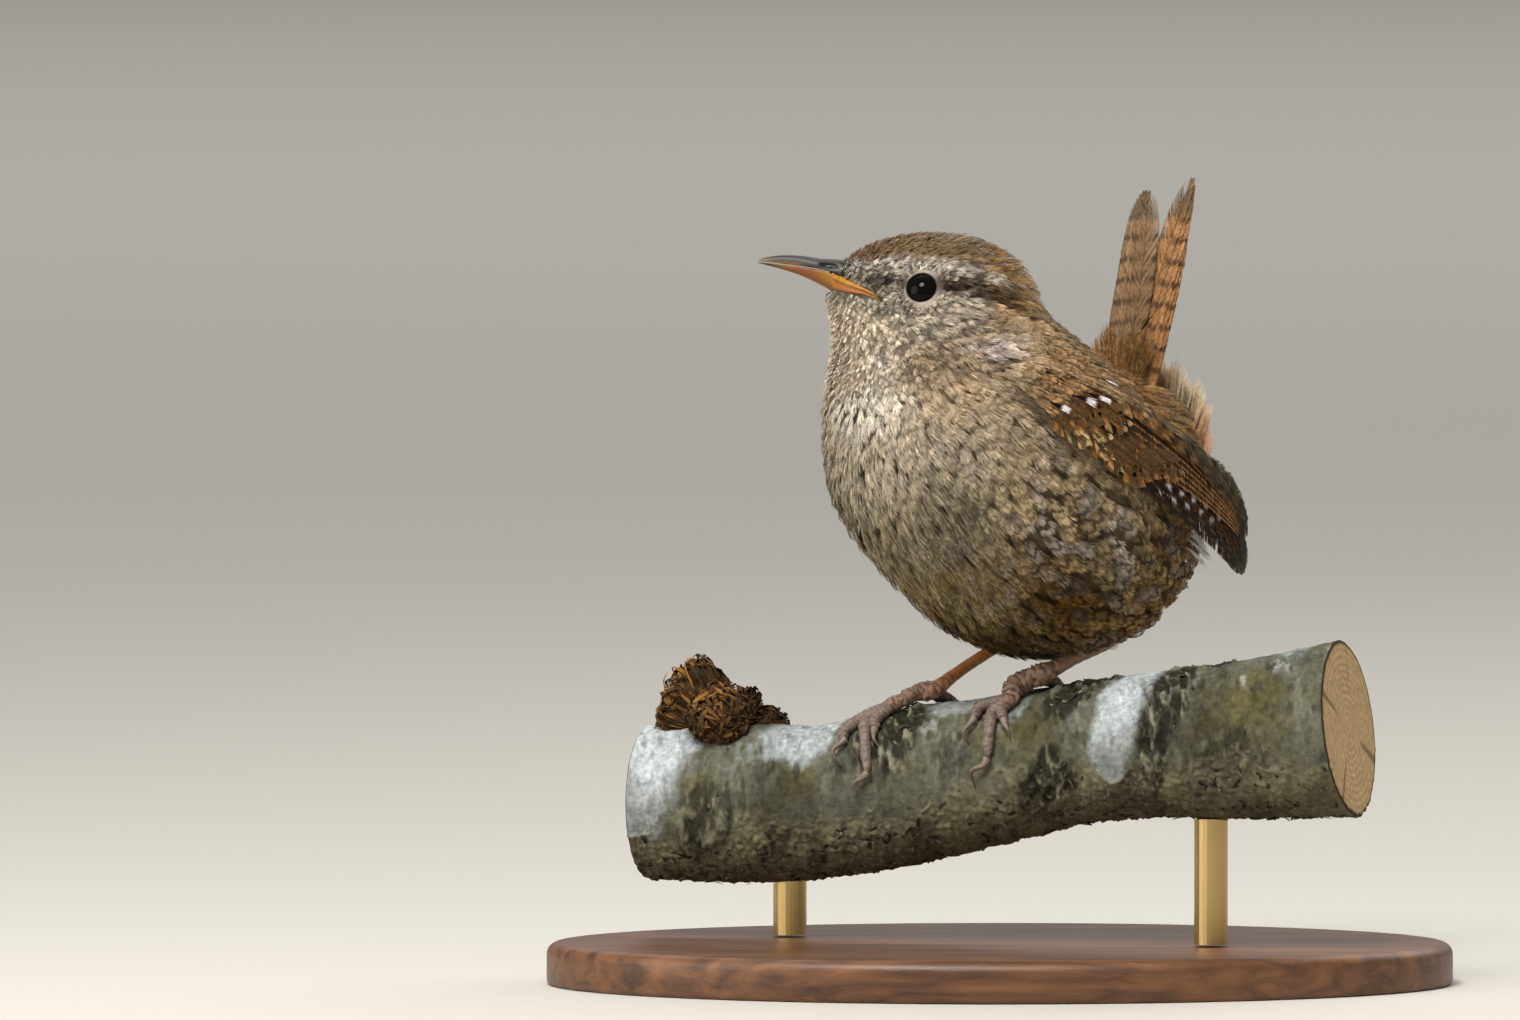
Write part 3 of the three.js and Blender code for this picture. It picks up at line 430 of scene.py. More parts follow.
# Parts of the body: place (forward, to either side, up), colour, and the feathers there: length,
# half width, spacing, strength of the bars and how much each stands up as a round tuft, both 0 to 1.
PARTS = [
    ((22.5, 2.5, 20), "throat", 3.0, 0.7, 0.62, 0.0, 0.1),
    ((23, 1, 10), "upper breast", 3.8, 0.8, 0.68, 0.0, 0.1),
    ((22.5, 3, 2), "breast", 4.0, 0.88, 0.74, 0.06, 0.15),
    ((18.4, 13, 6), "breast side", 4.0, 0.9, 0.82, 0.3, 0.3),
    ((17.6, 12, 13), "shoulder", 3.6, 0.85, 0.75, 0.15, 0.2),
    ((11.4, 12.9, 18), "neck side", 3.2, 0.7, 0.7, 0.1, 0.2),
    ((8, 9, 22), "nape", 3.0, 0.7, 0.7, 0.1, 0.1),
    ((4, 0, 24), "nape", 3.4, 0.9, 0.9, 0.15, 0.15),
    ((0.9, 12.1, 17.7), "mantle", 3.8, 0.85, 0.9, 0.25, 0.3),
    ((-4, 0, 18), "back", 5.0, 1.3, 1.3, 0.55, 0.3),
    ((-14, 0, 12), "rump", 5.4, 1.4, 1.35, 0.5, 0.3),
    ((-10, 12, 10), "rump", 5.4, 1.4, 1.45, 0.5, 0.3),
    ((17, 4, -8), "belly left", 4.6, 0.85, 0.78, 0.35, 0.2),
    ((16, 11, -3), "grey belly", 4.4, 0.9, 0.9, 0.45, 0.4),
    ((11.7, 4.8, -12.5), "belly", 4.6, 0.9, 0.95, 0.6, 0.45),
    ((9.7, 17.5, -2.6), "flank", 4.8, 1.15, 1.62, 0.95, 0.95),
    ((0, 18.6, -6.6), "flank", 5.0, 1.25, 1.72, 1.0, 1.0),
    ((2, 15, -12.5), "low flank", 4.6, 1.05, 1.5, 0.9, 0.8),
    ((2, 4, -18), "low belly", 4.6, 0.85, 0.98, 0.8, 0.5),
    ((-12, 14, -6), "rear", 5.0, 1.22, 1.7, 1.0, 0.95),
    ((-12, 8, -13), "rear", 4.8, 1.1, 1.6, 0.95, 0.85),
    ((-24, 0, -2), "vent", 5.4, 1.2, 1.3, 0.6, 0.5),
]
PART_PLACES = np.array([part[0] for part in PARTS], float)
PART_COLOURS = np.array([COLOURS[part[1]] for part in PARTS])
PART_TRAITS = np.array([part[2:] for part in PARTS])
LENGTH, HALF, SPACING, BARS, PUFF = range(5)


def part_weights(points):
    """How much each part of the body counts at points of the coat."""
    places = body_places(points)
    places[..., 1] = np.abs(places[..., 1])
    wobble = np.stack([fractal(points, 6, 3, seed) for seed in (3, 4, 5)], axis=-1)
    gaps = np.linalg.norm((places + 2.0 * wobble)[..., None, :] - PART_PLACES, axis=-1)
    weights = 1 / (gaps**3.2 + 1)
    return weights / weights.sum(axis=-1, keepdims=True)


def head_share(points):
    """1 on the head, 0 on the body, with a soft change on the neck."""
    forward, _, up = head_parts(points)
    return smooth(-13.5, -8.5, forward) * smooth(-9.5, -4.5, up + 0.2 * forward)


# Bands on the side of the head: the middle line as (forward, up) and half width.
BROW = [
    (12, 6.0, 0.4), (9, 6.4, 0.6), (5, 6.7, 0.7), (1.5, 6.7, 0.8),
    (-2, 6.2, 0.8), (-6, 5.1, 0.7), (-9.5, 3.6, 0.5),
]
STRIPE = [(10, 4.6, 0.3), (6.5, 4.3, 0.4), (1, 4.2, 0.8), (-3, 3.8, 1.1), (-6, 3.2, 1.1), (-10, 2.0, 1.2)]


def band(forward, up, line, soft):
    line = np.array(sorted(line))
    middle = np.interp(forward, line[:, 0], line[:, 1])
    half = np.interp(forward, line[:, 0], line[:, 2])
    inside = smooth(half + soft, half - soft, np.abs(up - middle))
    ends = smooth(line[0, 0] - 1.5, line[0, 0] + 0.5, forward)
    return inside * ends * smooth(line[-1, 0] + 1, line[-1, 0] - 0.5, forward)


def markings(points):
    """The coat's colour at points, before the pattern of each feather.

    Its limits are places on the head, in mm forward, to the side and up from the head's centre.
    """
    body = part_weights(points) @ PART_COLOURS
    forward, side, up = head_parts(points)
    height = up + 0.4 * noise(points, 1.4, 11) + 0.2 * noise(points, 0.6, 12)
    crown = mix(COLOURS["crown"], COLOURS["forehead"], smooth(4, 9, forward))
    crown = mix(crown, COLOURS["nape"], smooth(-5, -10, forward))
    face = mix(COLOURS["cheek"], COLOURS["lore"], smooth(3, 6, forward))
    face = mix(face, COLOURS["ear rear"], smooth(-4.5, -8.5, forward) * smooth(-5, 0, up))
    under = smooth(-1.0, -4.0, up + 0.2 * forward)
    face = mix(face, COLOURS["neck side"], under)
    face = mix(face, COLOURS["throat"], under * smooth(1.5, 6.0, forward) * smooth(12, 8, np.abs(side)))
    away = np.hypot((forward + 7.5) / 4.6, (up + 3.6) / 1.7) + 0.6 * noise(points, 1.0, 13)
    face = mix(face, COLOURS["neck streak"], 0.8 * smooth(1.3, 0.5, away) * smooth(5.5, 8.5, np.abs(side)))
    face = mix(face, COLOURS["chin"], smooth(7, 10, forward) * smooth(2.5, 0.5, up))
    face = mix(face, COLOURS["chin"], 0.8 * smooth(3.5, 6.5, forward) * smooth(0.6, -1.2, up) * (1 - under))
    top_edge = np.interp(forward, [-10, -6, 0, 5, 12], [4.2, 5.9, 7.1, 7.3, 6.9])
    head = mix(face, crown, smooth(-0.4, 0.4, height - top_edge))
    head = mix(head, COLOURS["stripe"], 0.85 * band(forward, height, STRIPE, 0.5))
    head = mix(head, COLOURS["brow"], 0.85 * band(forward, height, BROW, 0.4))
    return mix(body, head, head_share(points))


# The lie of the coat

BILL_ROOT = on_head((13.2, 0, 5.2))
VENT = on_body((-24, 0, -3))
TAIL_FOOT = on_body((-19, 0, 8))


def lie(points, normals):
    """The direction in which feathers lie: away from the bill, then towards the tail."""
    above = smooth(0, 12, body_places(points)[..., 2])[..., None]
    sink = VENT * (1 - above) + TAIL_FOOT * above
    way = unit(points - BILL_ROOT) + 0.75 * unit(sink - points) + np.array([0, 0, -0.25])
    for centre, axis in zip(EYE_CENTRES, EYE_AXES):
        offset = points - centre
        offset = offset - (offset @ axis)[..., None] * axis
        near = np.linalg.norm(offset, axis=-1)
        same_side = (points - centre) @ axis > -1
        way = way + 1.4 * unit(offset) * (smooth(4.6, 2.2, near) * same_side)[..., None]
    return unit(way - normals * np.sum(way * normals, axis=-1, keepdims=True))


# Eyes: places from the frame

EYE_NODES = ("eye_left", "eye_right")
EYE_OPENING = 1.74
EYE_BOXES = [np.array(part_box(node)) / MM for node in EYE_NODES]
EYE_CENTRES = [box.mean(axis=0) for box in EYE_BOXES]
EYE_AXES = [outward(centre) for centre in EYE_CENTRES]


def from_eye(points):
    """The distance of points from the axis of the nearer eye."""
    gaps = []
    for centre, axis in zip(EYE_CENTRES, EYE_AXES):
        offset = points - centre
        height = offset @ axis
        gap = np.linalg.norm(offset - height[..., None] * axis, axis=-1)
        gaps.append(np.where(height > -1, gap, 99))
    return np.min(gaps, axis=0)


# Shader helpers

BUMP_DEPTH = 0.0002


def material(name, roughness, specular):
    """A new node material, with its main shader node and its node tree."""
    finish = bpy.data.materials.new(name)
    finish.use_nodes = True
    tree = finish.node_tree
    shader = tree.nodes["Principled BSDF"]
    shader.inputs["Roughness"].default_value = roughness
    shader.inputs["Specular IOR Level"].default_value = specular
    return finish, tree, shader


def feed(tree, made, inputs):
    """Gives inputs of a node constant values or the outputs of other nodes."""
    for key, value in dict(inputs).items():
        if isinstance(value, bpy.types.NodeSocket):
            tree.links.new(value, made.inputs[key])
        else:
            made.inputs[key].default_value = value


def node(tree, kind, inputs=(), **settings):
    """A new shader node; gives its outputs."""
    made = tree.nodes.new("ShaderNode" + kind)
    for key, value in settings.items():
        setattr(made, key, value)
    feed(tree, made, inputs)
    return made.outputs


def calculated(tree, operation, *inputs, use_clamp=False):
    made = node(tree, "Math", enumerate(inputs), operation=operation, use_clamp=use_clamp)
    return made["Value"]


def scaled_colour(tree, colour, factor):
    return node(tree, "VectorMath", {0: colour, "Scale": factor}, operation="SCALE")["Vector"]


def colour_ramp(tree, factor, steps):
    """The colours of steps (position, colour), the positions from 0 to 1, at a factor."""
    made = tree.nodes.new("ShaderNodeValToRGB")
    stops = made.color_ramp.elements
    while len(stops) < len(steps):
        stops.new(0.5)
    for stop, (position, colour) in zip(stops, steps):
        stop.position = position
        stop.color = (*colour, 1)
    feed(tree, made, {"Fac": factor})
    return made.outputs["Color"]


def tinted(name, roughness, specular, grain_scale, grain, bump):
    """A finish that takes its colour from the mesh and varies it with a fine grain."""
    finish, tree, shader = material(name, roughness, specular)
    where = node(tree, "TexCoord")["Object"]
    tint = node(tree, "Attribute", attribute_name="tint")["Color"]
    texture = {"Vector": where, "Scale": grain_scale, "Detail": 3.0, "Roughness": 0.6}
    speckle = node(tree, "TexNoise", texture)["Fac"]
    spread = {"Value": speckle, "From Min": 0.25, "From Max": 0.75, "To Min": 1 - grain, "To Max": 1 + grain}
    varied = scaled_colour(tree, tint, node(tree, "MapRange", spread)["Result"])
    relief = node(tree, "Bump", {"Strength": bump, "Distance": BUMP_DEPTH, "Height": speckle})
    feed(tree, shader, {"Base Color": varied, "Normal": relief["Normal"]})
    return finish


# Darkness of a feather's bars at distances in mm from its tip. A flat feather uses the steps up to
# its limit. A round one adds KNOB_MARKS to the distance, so it uses the steps after it.
# On a round feather the dark band round its tip is partly its bars and partly painted shade in the gaps
# between round feathers.
FLAT_MARKS = 8
KNOB_MARKS = 10
MARK_STEPS = [
    (0, 0), (0.76, 0), (0.92, 1), (1.32, 1), (1.52, 0.1), (2.2, 0.1), (2.4, 0.9), (2.72, 0.9), (2.92, 0.3),
    (8.9, 0.3), (9.1, 0), (11.25, 0), (11.45, 1), (11.9, 1), (12.15, 0.3), (12.9, 0.3), (13.2, 0.9),
]
MARK_RANGE = 16
MARK_WOBBLE = 0.9
MARK_SHIFT = 0.6
MARK_START = 0.85


def feather_finish(name, roughness, specular, glow):
    """Feathers: the mesh's colour with a grain, bars at set distances from each tip, and some glow."""
    finish, tree, shader = material(name, roughness, specular)
    where = node(tree, "TexCoord")["Object"]
    tint = node(tree, "Attribute", attribute_name="tint")["Color"]
    marks = node(tree, "Attribute", attribute_name="marks")["Vector"]
    distance, strength, own = node(tree, "SeparateXYZ", {"Vector": marks}).values()
    wobble = node(tree, "TexNoise", {"Vector": where, "Scale": 1500, "Detail": 3.0})["Fac"]
    texture = {"Vector": where, "Scale": 2600, "Detail": 3.0, "Roughness": 0.65}
    speckle = node(tree, "TexNoise", texture)["Fac"]
    spread = {"Value": speckle, "From Min": 0.3, "From Max": 0.7, "To Min": 0.7, "To Max": 1.3}
    grain = node(tree, "MapRange", spread)["Result"]
    sway = calculated(tree, "MULTIPLY", wobble, MARK_WOBBLE)
    shift = calculated(tree, "MULTIPLY_ADD", own, MARK_SHIFT, sway)
    reach = calculated(tree, "ADD", shift, distance)
    span = {"Value": reach, "From Min": MARK_START, "From Max": MARK_START + MARK_RANGE}
    place_on_ramp = node(tree, "MapRange", span)["Result"]
    steps = [(spot / MARK_RANGE, (value, value, value)) for spot, value in MARK_STEPS]
    pattern = colour_ramp(tree, place_on_ramp, steps)
    mask = calculated(tree, "MULTIPLY", pattern, strength, use_clamp=True)
    lit = calculated(tree, "MULTIPLY", grain, calculated(tree, "SUBTRACT", 1.0, mask))
    both = {0: scaled_colour(tree, tint, lit), 1: scaled_colour(tree, tuple(COLOURS["dark"]), mask)}
    total = node(tree, "VectorMath", both, operation="ADD")["Vector"]
    feed(tree, shader, {"Base Color": total})
    through = node(tree, "BsdfTranslucent", {"Color": total})["BSDF"]
    blend = node(tree, "MixShader", {"Fac": glow, 1: shader.outputs["BSDF"], 2: through})["Shader"]
    feed(tree, tree.nodes["Material Output"], {"Surface": blend})
    return finish


# Skin

def skin():
    """One closed skin over head and body, dented for the eyes, that carries the coat's markings darkened as
    painted shade.
    """
    line = np.linspace(-1, 1, SKIN_GRID + 1)
    square = np.stack(np.meshgrid(line, line, indexing="xy"), axis=-1)
    points = on_skin(square.reshape(-1, 2))
    near = from_eye(points)
    points = points - outward(points) * (0.9 * smooth(2.9, 1.8, near))[:, None]
    names = np.arange((SKIN_GRID + 1) ** 2).reshape(SKIN_GRID + 1, -1)
    same = names.copy()
    half = SKIN_GRID // 2
    for edge in (names[0], names[-1], names[:, 0], names[:, -1]):
        row, column = np.unravel_index(edge[half + 1 :], names.shape)
        same[row, column] = edge[:half][::-1]
    for row, column in ((-1, -1), (-1, 0), (0, -1)):
        same[row, column] = same[0, 0]
    faces = same.ravel()[grid_faces(SKIN_GRID + 1, SKIN_GRID + 1, False)]
    used, order = np.unique(faces, return_inverse=True)
    flat = bake_place(square.reshape(-1, 2))
    loose = (part_weights(points) @ PART_TRAITS)[:, PUFF] * (1 - head_share(points))
    # Painted shade: the skin shows only in the gaps between feathers, so it is darker than the markings,
    # most under round tufts.
    tint = (0.85 - 0.5 * smooth(0.3, 0.8, loose))[:, None] * markings(points)
    finish = tinted("skin", 0.85, 0.15, 2500, 0.25, bump=0.3)
    thing = build("skin", points[used], order.reshape(faces.shape), finish, tint[used], flat[used])
    return place(thing, "plumage_body", "head", "neck", "torso", "rump")


# Coat: fans of fine barbs, each fan one feather

GUIDE = 6
GUIDE_RISE = np.array([0, 0.36, 0.64, 0.86, 1.0, 0.88])


def scatter(count, spacing_at, keep):
    """Random places on the skin, no two nearer than the spacing there, as square and points."""
    square = rng.uniform(-1, 1, (count, 2))
    points = on_skin(square)
    wanted = keep(points)
    square, points = square[wanted], points[wanted]
    spacing = spacing_at(points)
    cell = spacing.max()
    buckets = {}
    chosen = []
    neighbours = list(itertools.product((-1, 0, 1), repeat=3))
    keys = np.floor(points / cell).astype(int)
    found = zip(points.tolist(), keys.tolist(), (spacing**2).tolist())
    for k, ((x, y, z), (i, j, h), gap) in enumerate(found):
        around = (buckets.get((i + a, j + b, h + c), ()) for a, b, c in neighbours)
        near = itertools.chain.from_iterable(around)
        if all((x - p) ** 2 + (y - q) ** 2 + (z - r) ** 2 >= gap for p, q, r in near):
            buckets.setdefault((i, j, h), []).append((x, y, z))
            chosen.append(k)
    return square[chosen], points[chosen]


def guides(roots, lengths, tip_level):
    """The middle lines of feathers that lie over the form: points, normals, each (feathers, GUIDE, 3)."""
    start = skin_level(roots)
    points, normals = to_level(roots, start)
    lines, ups = [points], [normals]
    swing = rng.normal(0, 0.15, len(roots))
    for k in range(1, GUIDE):
        way = lie(points, normals)
        aside = np.cross(normals, way)
        way = unit(way + aside * (swing + 0.22 * noise(points, 6, 21) + 0.1 * noise(points, 2, 22))[:, None])
        points = points + way * (lengths / (GUIDE - 1))[:, None]
        points, normals = to_level(points, start + (tip_level - start) * GUIDE_RISE[k], 1)
        lines.append(points)
        ups.append(normals)
    return np.stack(lines, axis=1), np.stack(ups, axis=1)


def along_guides(values, share):
    """Values (feathers, GUIDE, 3) at shares (feathers, ...) of the way to the tip."""
    at = np.clip(share, 0, 1) * (GUIDE - 1)
    k = np.minimum(at.astype(int), GUIDE - 2)
    t = (at - k)[..., None]
    feather = np.arange(len(values)).reshape((-1,) + (1,) * (share.ndim - 1))
    return values[feather, k] * (1 - t) + values[feather, k + 1] * t


# Barbs of a soft feather: their jitter as a share of their step, how late along the shaft they start,
# how much a clump and a barb may stop short, all shares of the feather; then the curve across, the drop
# of the edges and of a round tip, the curl and the roll, and how much evener a round feather is
JITTER, LATEST_START = 0.7, 0.4
CLUMP_CUT, BARB_CUT = 0.09, 0.05
FLAT_CURVE, PUFF_CURVE = 1 / 22, 0.4
EDGE_DROP, TIP_DROP = 0.10, 0.5
CURL, ROLL = 0.17, 0.35
PUFF_EVENS = 0.65


def fans(
    pile, lines, ups, half, flat, paint, bars, barbs, stations, barb_width,
    clumps=5, gather=0.5, tone=0.2, fluff=0.12, spread=0.25, wisps=0.0, puff=0.0,
):
    """Adds one feather for each guide line: barbs that fan out from the shaft and clump at the edge.

    Puff, from 0 to 1, domes a feather across, rounds its tip and turns the tip down.
    """
    count = len(lines)
    puff = np.broadcast_to(puff, count)[:, None]
    spread = spread - 0.05 * puff
    even = 1 - PUFF_EVENS * puff
    spans = np.linalg.norm(np.diff(lines, axis=1), axis=-1).sum(axis=1)
    across = np.linspace(-1, 1, barbs)[None] + rng.uniform(-JITTER, JITTER, (count, barbs)) / barbs
    group = np.clip(((across + 1) / 2 * clumps).astype(int), 0, clumps - 1)
    middle = (group + 0.5) / clumps * 2 - 1

    def by_clump(values):
        return np.take_along_axis(values, group, axis=1)

    shade = by_clump(1 + tone * even * rng.normal(0, 1, (count, clumps)))
    start = rng.uniform(0, LATEST_START, (count, barbs)) * (1 - 0.5 * np.abs(across))
    end = 1 - spread * middle**2 - by_clump(rng.uniform(0, CLUMP_CUT, (count, clumps)))
    end = end - rng.uniform(0, BARB_CUT, (count, barbs))
    q = np.linspace(0, 1, stations)
    share = start[..., None] + (end - start)[..., None] * q
    drawn = (gather * even)[..., None] * q**2
    offset = half[:, None, None] * (across[..., None] * (1 - drawn) + middle[..., None] * drawn) * q**0.75
    centre = along_guides(lines, share)
    up = unit(along_guides(ups, share))
    ahead = unit(along_guides(np.gradient(lines, axis=1), share))
    aside = unit(np.cross(up, ahead))
    lift = even * rng.normal(0, fluff, (count, barbs)) + by_clump(rng.normal(0, 0.06, (count, clumps)))
    stray = rng.uniform(0, 1, (count, barbs)) < wisps
    lift = lift + stray * rng.uniform(0, 0.9, (count, barbs))
    dome = offset**2 * (FLAT_CURVE + PUFF_CURVE * puff[..., None])
    dome = dome + EDGE_DROP * np.abs(across)[..., None] * q
    lift = lift[..., None] * q**2 - dome - TIP_DROP * puff[..., None] * smooth(0.84, 1.0, share)
    curl = even[..., None] * rng.normal(0, CURL, (count, barbs, 1)) * q**2
    centre = centre + aside * (offset + curl)[..., None] + up * lift[..., None]
    thick = barb_width * (1 + 0.3 * puff[..., None])
    widths = thick * (1 - 0.55 * q) * rng.uniform(0.75, 1.2, (count, barbs, 1))
    roll = even[..., None, None] * rng.normal(0, ROLL, (count, barbs, 1, 1))
    side = unit(aside + up * roll)
    tints = paint(share, across[..., None] * q, centre) * shade[..., None, None]
    from_tip = np.maximum((1 - spread[..., None] * across[..., None] ** 2 - share) * spans[:, None, None], 0)
    from_tip = from_tip + by_clump(rng.normal(0, 0.16, (count, clumps)) * puff)[..., None]
    knobs = (rng.uniform(0, 1, (count, 1)) < smooth(0.35, 0.75, puff))[..., None]
    # Painted shade: the sides of a round feather reach its dark band sooner, darkening the gaps between
    # round feathers, besides their bars.
    sides = 0.9 * smooth(0.7, 1.0, np.abs(across))[..., None]
    from_tip = np.where(knobs, KNOB_MARKS + from_tip + sides, np.minimum(1.45 * from_tip, FLAT_MARKS))
    marks = stacked(from_tip, bars[:, None, None], rng.uniform(0, 1, (count, 1, 1)))
    edge = np.broadcast_to(across[..., None], share.shape)
    patch = flat[:, None, None] + PATCH * 0.5 * np.stack([edge, 2 * share - 1], axis=-1)
    flatten = (count * barbs, stations)
    pile.add(
        centre.reshape(*flatten, 3), side.reshape(*flatten, 3), widths.reshape(flatten),
        tints.reshape(*flatten, 3), marks.reshape(*flatten, 3), patch.reshape(*flatten, 2),
    )


# Soft feathers: how far they differ from one another and within themselves, the share of round ones
# with a lilac tone, and the darkest and lightest factors of the coat's colour
FEATHER_TONE, STRAND_TONE = 0.12, 0.12
LILAC_SHARE, LILAC_STRENGTH = 0.3, 0.6
LILAC = np.array([1.08, 1.0, 0.98]) * 1.2
DARKEST, LIGHTEST = 0.1, 2


def coat_paint(base, puff=0.0):
    """Colours of soft feathers: each a little lighter or darker than the next, with painted shade at the
    root.
    """
    puff = np.broadcast_to(puff, len(base))[:, None, None]
    shade = rng.normal(1, FEATHER_TONE + 0.13 * puff, (len(base), 1, 1))
    lilac = (rng.uniform(0, 1, len(base)) < LILAC_SHARE) * puff[:, 0, 0] * LILAC_STRENGTH
    base = mix(base, base.mean(axis=1, keepdims=True) * LILAC, lilac)

    def paint(share, across, points):
        strand = 1 + (STRAND_TONE - 0.06 * puff) * rng.normal(0, 1, share.shape[:2] + (1,))
        # Painted shade: darker towards the root, where feathers lie under one another, and a round feather
        # darker except at its tip.
        root = 0.76 - 0.2 * puff
        under = (root + (1 - root) * smooth(0.15, 0.6, share)) * (1 - 0.4 * puff * smooth(0.88, 0.66, share))
        light = np.clip(shade * strand * under, DARKEST, LIGHTEST)[..., None]
        return (1 + 0.3 * puff[..., None]) * base[:, None, None] * light

    return paint


def covered_by_wing(points):
    """True deep under a folded wing, where no feather of the body shows."""
    covered = np.zeros(len(points), bool)
    for side in (1, -1):
        along, across, ahead = wing_places(points, side)
        top = np.interp(along, [6, 14, 20, 28], [5.0, 4.6, 3.4, 2.0])
        covered |= (along > 3) & (along < 30) & (across > -0.6) & (across < top) & ahead
    return covered


FACE_LENGTH = 1.5
CROWN_LENGTH = 2.4


def coat_traits(points):
    """Length, half width, spacing and bars of the feathers that grow at points of the skin."""
    body = part_weights(points) @ PART_TRAITS
    forward, _, up = head_parts(points)
    size = CROWN_LENGTH + (FACE_LENGTH - CROWN_LENGTH) * smooth(-4, 7, forward)
    size = size * (0.45 + 0.55 * smooth(2.2, 4.5, from_eye(points))) * (1 - 0.3 * smooth(8, 11, forward))
    dashes = 0.3 * smooth(6.4, 7.6, up) + 0.25 * smooth(-1, -4, up)
    head = np.stack([size, 0.25 * size + 0.04, 0.23 * size + 0.08, dashes, 0.1 + 0 * size], axis=-1)
    return mix(body, head, head_share(points))


def mottle(points):
    """Brightness of single feathers on the face: some dark, some pale."""
    forward, _, up = head_parts(points)
    face = smooth(8.4, 6.5, up) * smooth(-10, -6, forward) * smooth(-9, -6, up)
    near_bill = smooth(4, 7, forward) * smooth(1, 2.5, up)
    own = rng.choice([-1.0, 0.0, 0.7], len(points), p=[0.27, 0.41, 0.32])
    return 1 + own * (0.55 * face + 0.22 * near_bill)


def coat(finish):
    """The coat of small feathers over head and body: tight on the face, loose on the belly."""
    def keep(points):
        return (from_eye(points) > EYE_OPENING + 0.2) & ~in_bill(points) & ~covered_by_wing(points)

    square, roots = scatter(90000, lambda points: coat_traits(points)[:, SPACING], keep)
    traits = coat_traits(roots)
    on_the_head = head_share(roots)
    length = traits[:, LENGTH] * rng.uniform(0.85, 1.15, len(roots))
    tip_level = rng.normal(0, 0.05 + 0.03 * (1 - on_the_head) + 0.12 * traits[:, PUFF])
    lines, ups = guides(roots, length, tip_level)
    clear = (from_eye(lines[:, -1]) > EYE_OPENING + 0.16) & ~in_gape(lines[:, -1]) & ~in_gape(lines[:, 3])
    base = markings(lines[:, -2]) * mottle(lines[:, -2])[:, None]
    flat = bake_place(square)
    bars = traits[:, BARS] * (1 - traits[:, PUFF] * rng.uniform(0, 0.55, len(roots)))
    for name, slot, chosen, barbs, stations, width, clumps, fluff, wisps in (
        ("coat_head", "plumage_head", clear & (on_the_head > 0.5), 14, 4, 0.045, 4, 0.04, 0),
        ("coat_body", "plumage_body", clear & (on_the_head <= 0.5), 28, 5, 0.068, 5, 0.09, 0.015),
    ):
        pile = Pile()
        fans(
            pile, lines[chosen], ups[chosen], traits[chosen, HALF], flat[chosen],
            coat_paint(base[chosen], traits[chosen, PUFF]), bars[chosen], barbs, stations, width,
            clumps=clumps, gather=0.35, fluff=fluff, tone=0.16, wisps=wisps, puff=traits[chosen, PUFF],
        )
        pile.pieces(name, finish, slot)


# Wings: the chart on an ellipsoid, along from wrist to tip and across upwards, as in the solids

WING_CENTRE = np.array([-4, 0, 3.0])
WING_PITCH = math.radians(35)
WING_RADII = np.array([31.5, 21.6, 16.2])
WRIST = np.array([12, 15.5, 13.5])
WING_TIP = np.array([-27.5, 11, -9.7])
ALONG_WING = unit(WING_TIP - WRIST)
OUTWARD_HINT = np.array([0, 0.9, 0.4])
OFF_WING = unit(OUTWARD_HINT - ALONG_WING * (OUTWARD_HINT @ ALONG_WING))
ACROSS_WING = np.cross(OFF_WING, ALONG_WING)
WING_AXES = np.array([
    [math.cos(WING_PITCH), 0, math.sin(WING_PITCH)],
    [0, 1, 0],
    [-math.sin(WING_PITCH), 0, math.cos(WING_PITCH)],
])


def wing_sheet(side):
    """The chart of one wing: points along, across and above it. Its upper edge lies on the body."""
    def sheet(along, across, layer):
        along, across, layer = np.broadcast_arrays(along, across, layer)
        flat = WRIST + along[..., None] * ALONG_WING + across[..., None] * ACROSS_WING - WING_CENTRE
        reach = np.linalg.norm(flat @ WING_AXES.T / WING_RADII, axis=-1, keepdims=True)
        spot = flat / reach
        normal = unit((spot @ WING_AXES.T / WING_RADII**2) @ WING_AXES)
        spot = on_body((spot + normal * layer[..., None] + WING_CENTRE) * np.array([1, side, 1]))
        tucked = smooth(2.4, 4.8, across) * smooth(29, 22, along)
        return mix(spot, to_level(spot, layer + 0.1)[0], tucked)
    return sheet


def wing_places(points, side):
    """Along, across, and whether points lie on that side of the body, for one wing's chart."""
    places = body_places(points) * np.array([1, side, 1]) - WING_CENTRE
    facing = places @ OFF_WING
    scale = ((WRIST - WING_CENTRE) @ OFF_WING) / np.where(np.abs(facing) < 1e-6, 1e-6, facing)
    flat = places * scale[..., None] - (WRIST - WING_CENTRE)
    return flat @ ALONG_WING, flat @ ACROSS_WING, facing > 0


def outline(share, tip_from):
    """Half width of a flight feather along its length, as a share of the widest."""
    rise = smooth(-0.1, 0.3, share) * 0.45 + 0.55
    end = np.clip((share - tip_from) / (1 - tip_from), 0, 1)
    return rise * np.sqrt(np.maximum(1 - end**2.2, 0))


VANE_STATIONS = np.array([0, 0.4, 0.7, 0.85, 1.0])
VANE_WIDTHS = np.array([1, 1, 1, 0.9, 0.6])
BARB_OVERLAP = 0.62
SHAFT_STATIONS = 14
SHAFT_ROOT, SHAFT_TAPER, SHAFT_RISE = 0.10, 0.06, 0.05
# Splits between barbs: width, and how far along the vane the barbs beside one give way
SPLIT_WIDTH, SPLIT_REACH = 0.28, 1.2


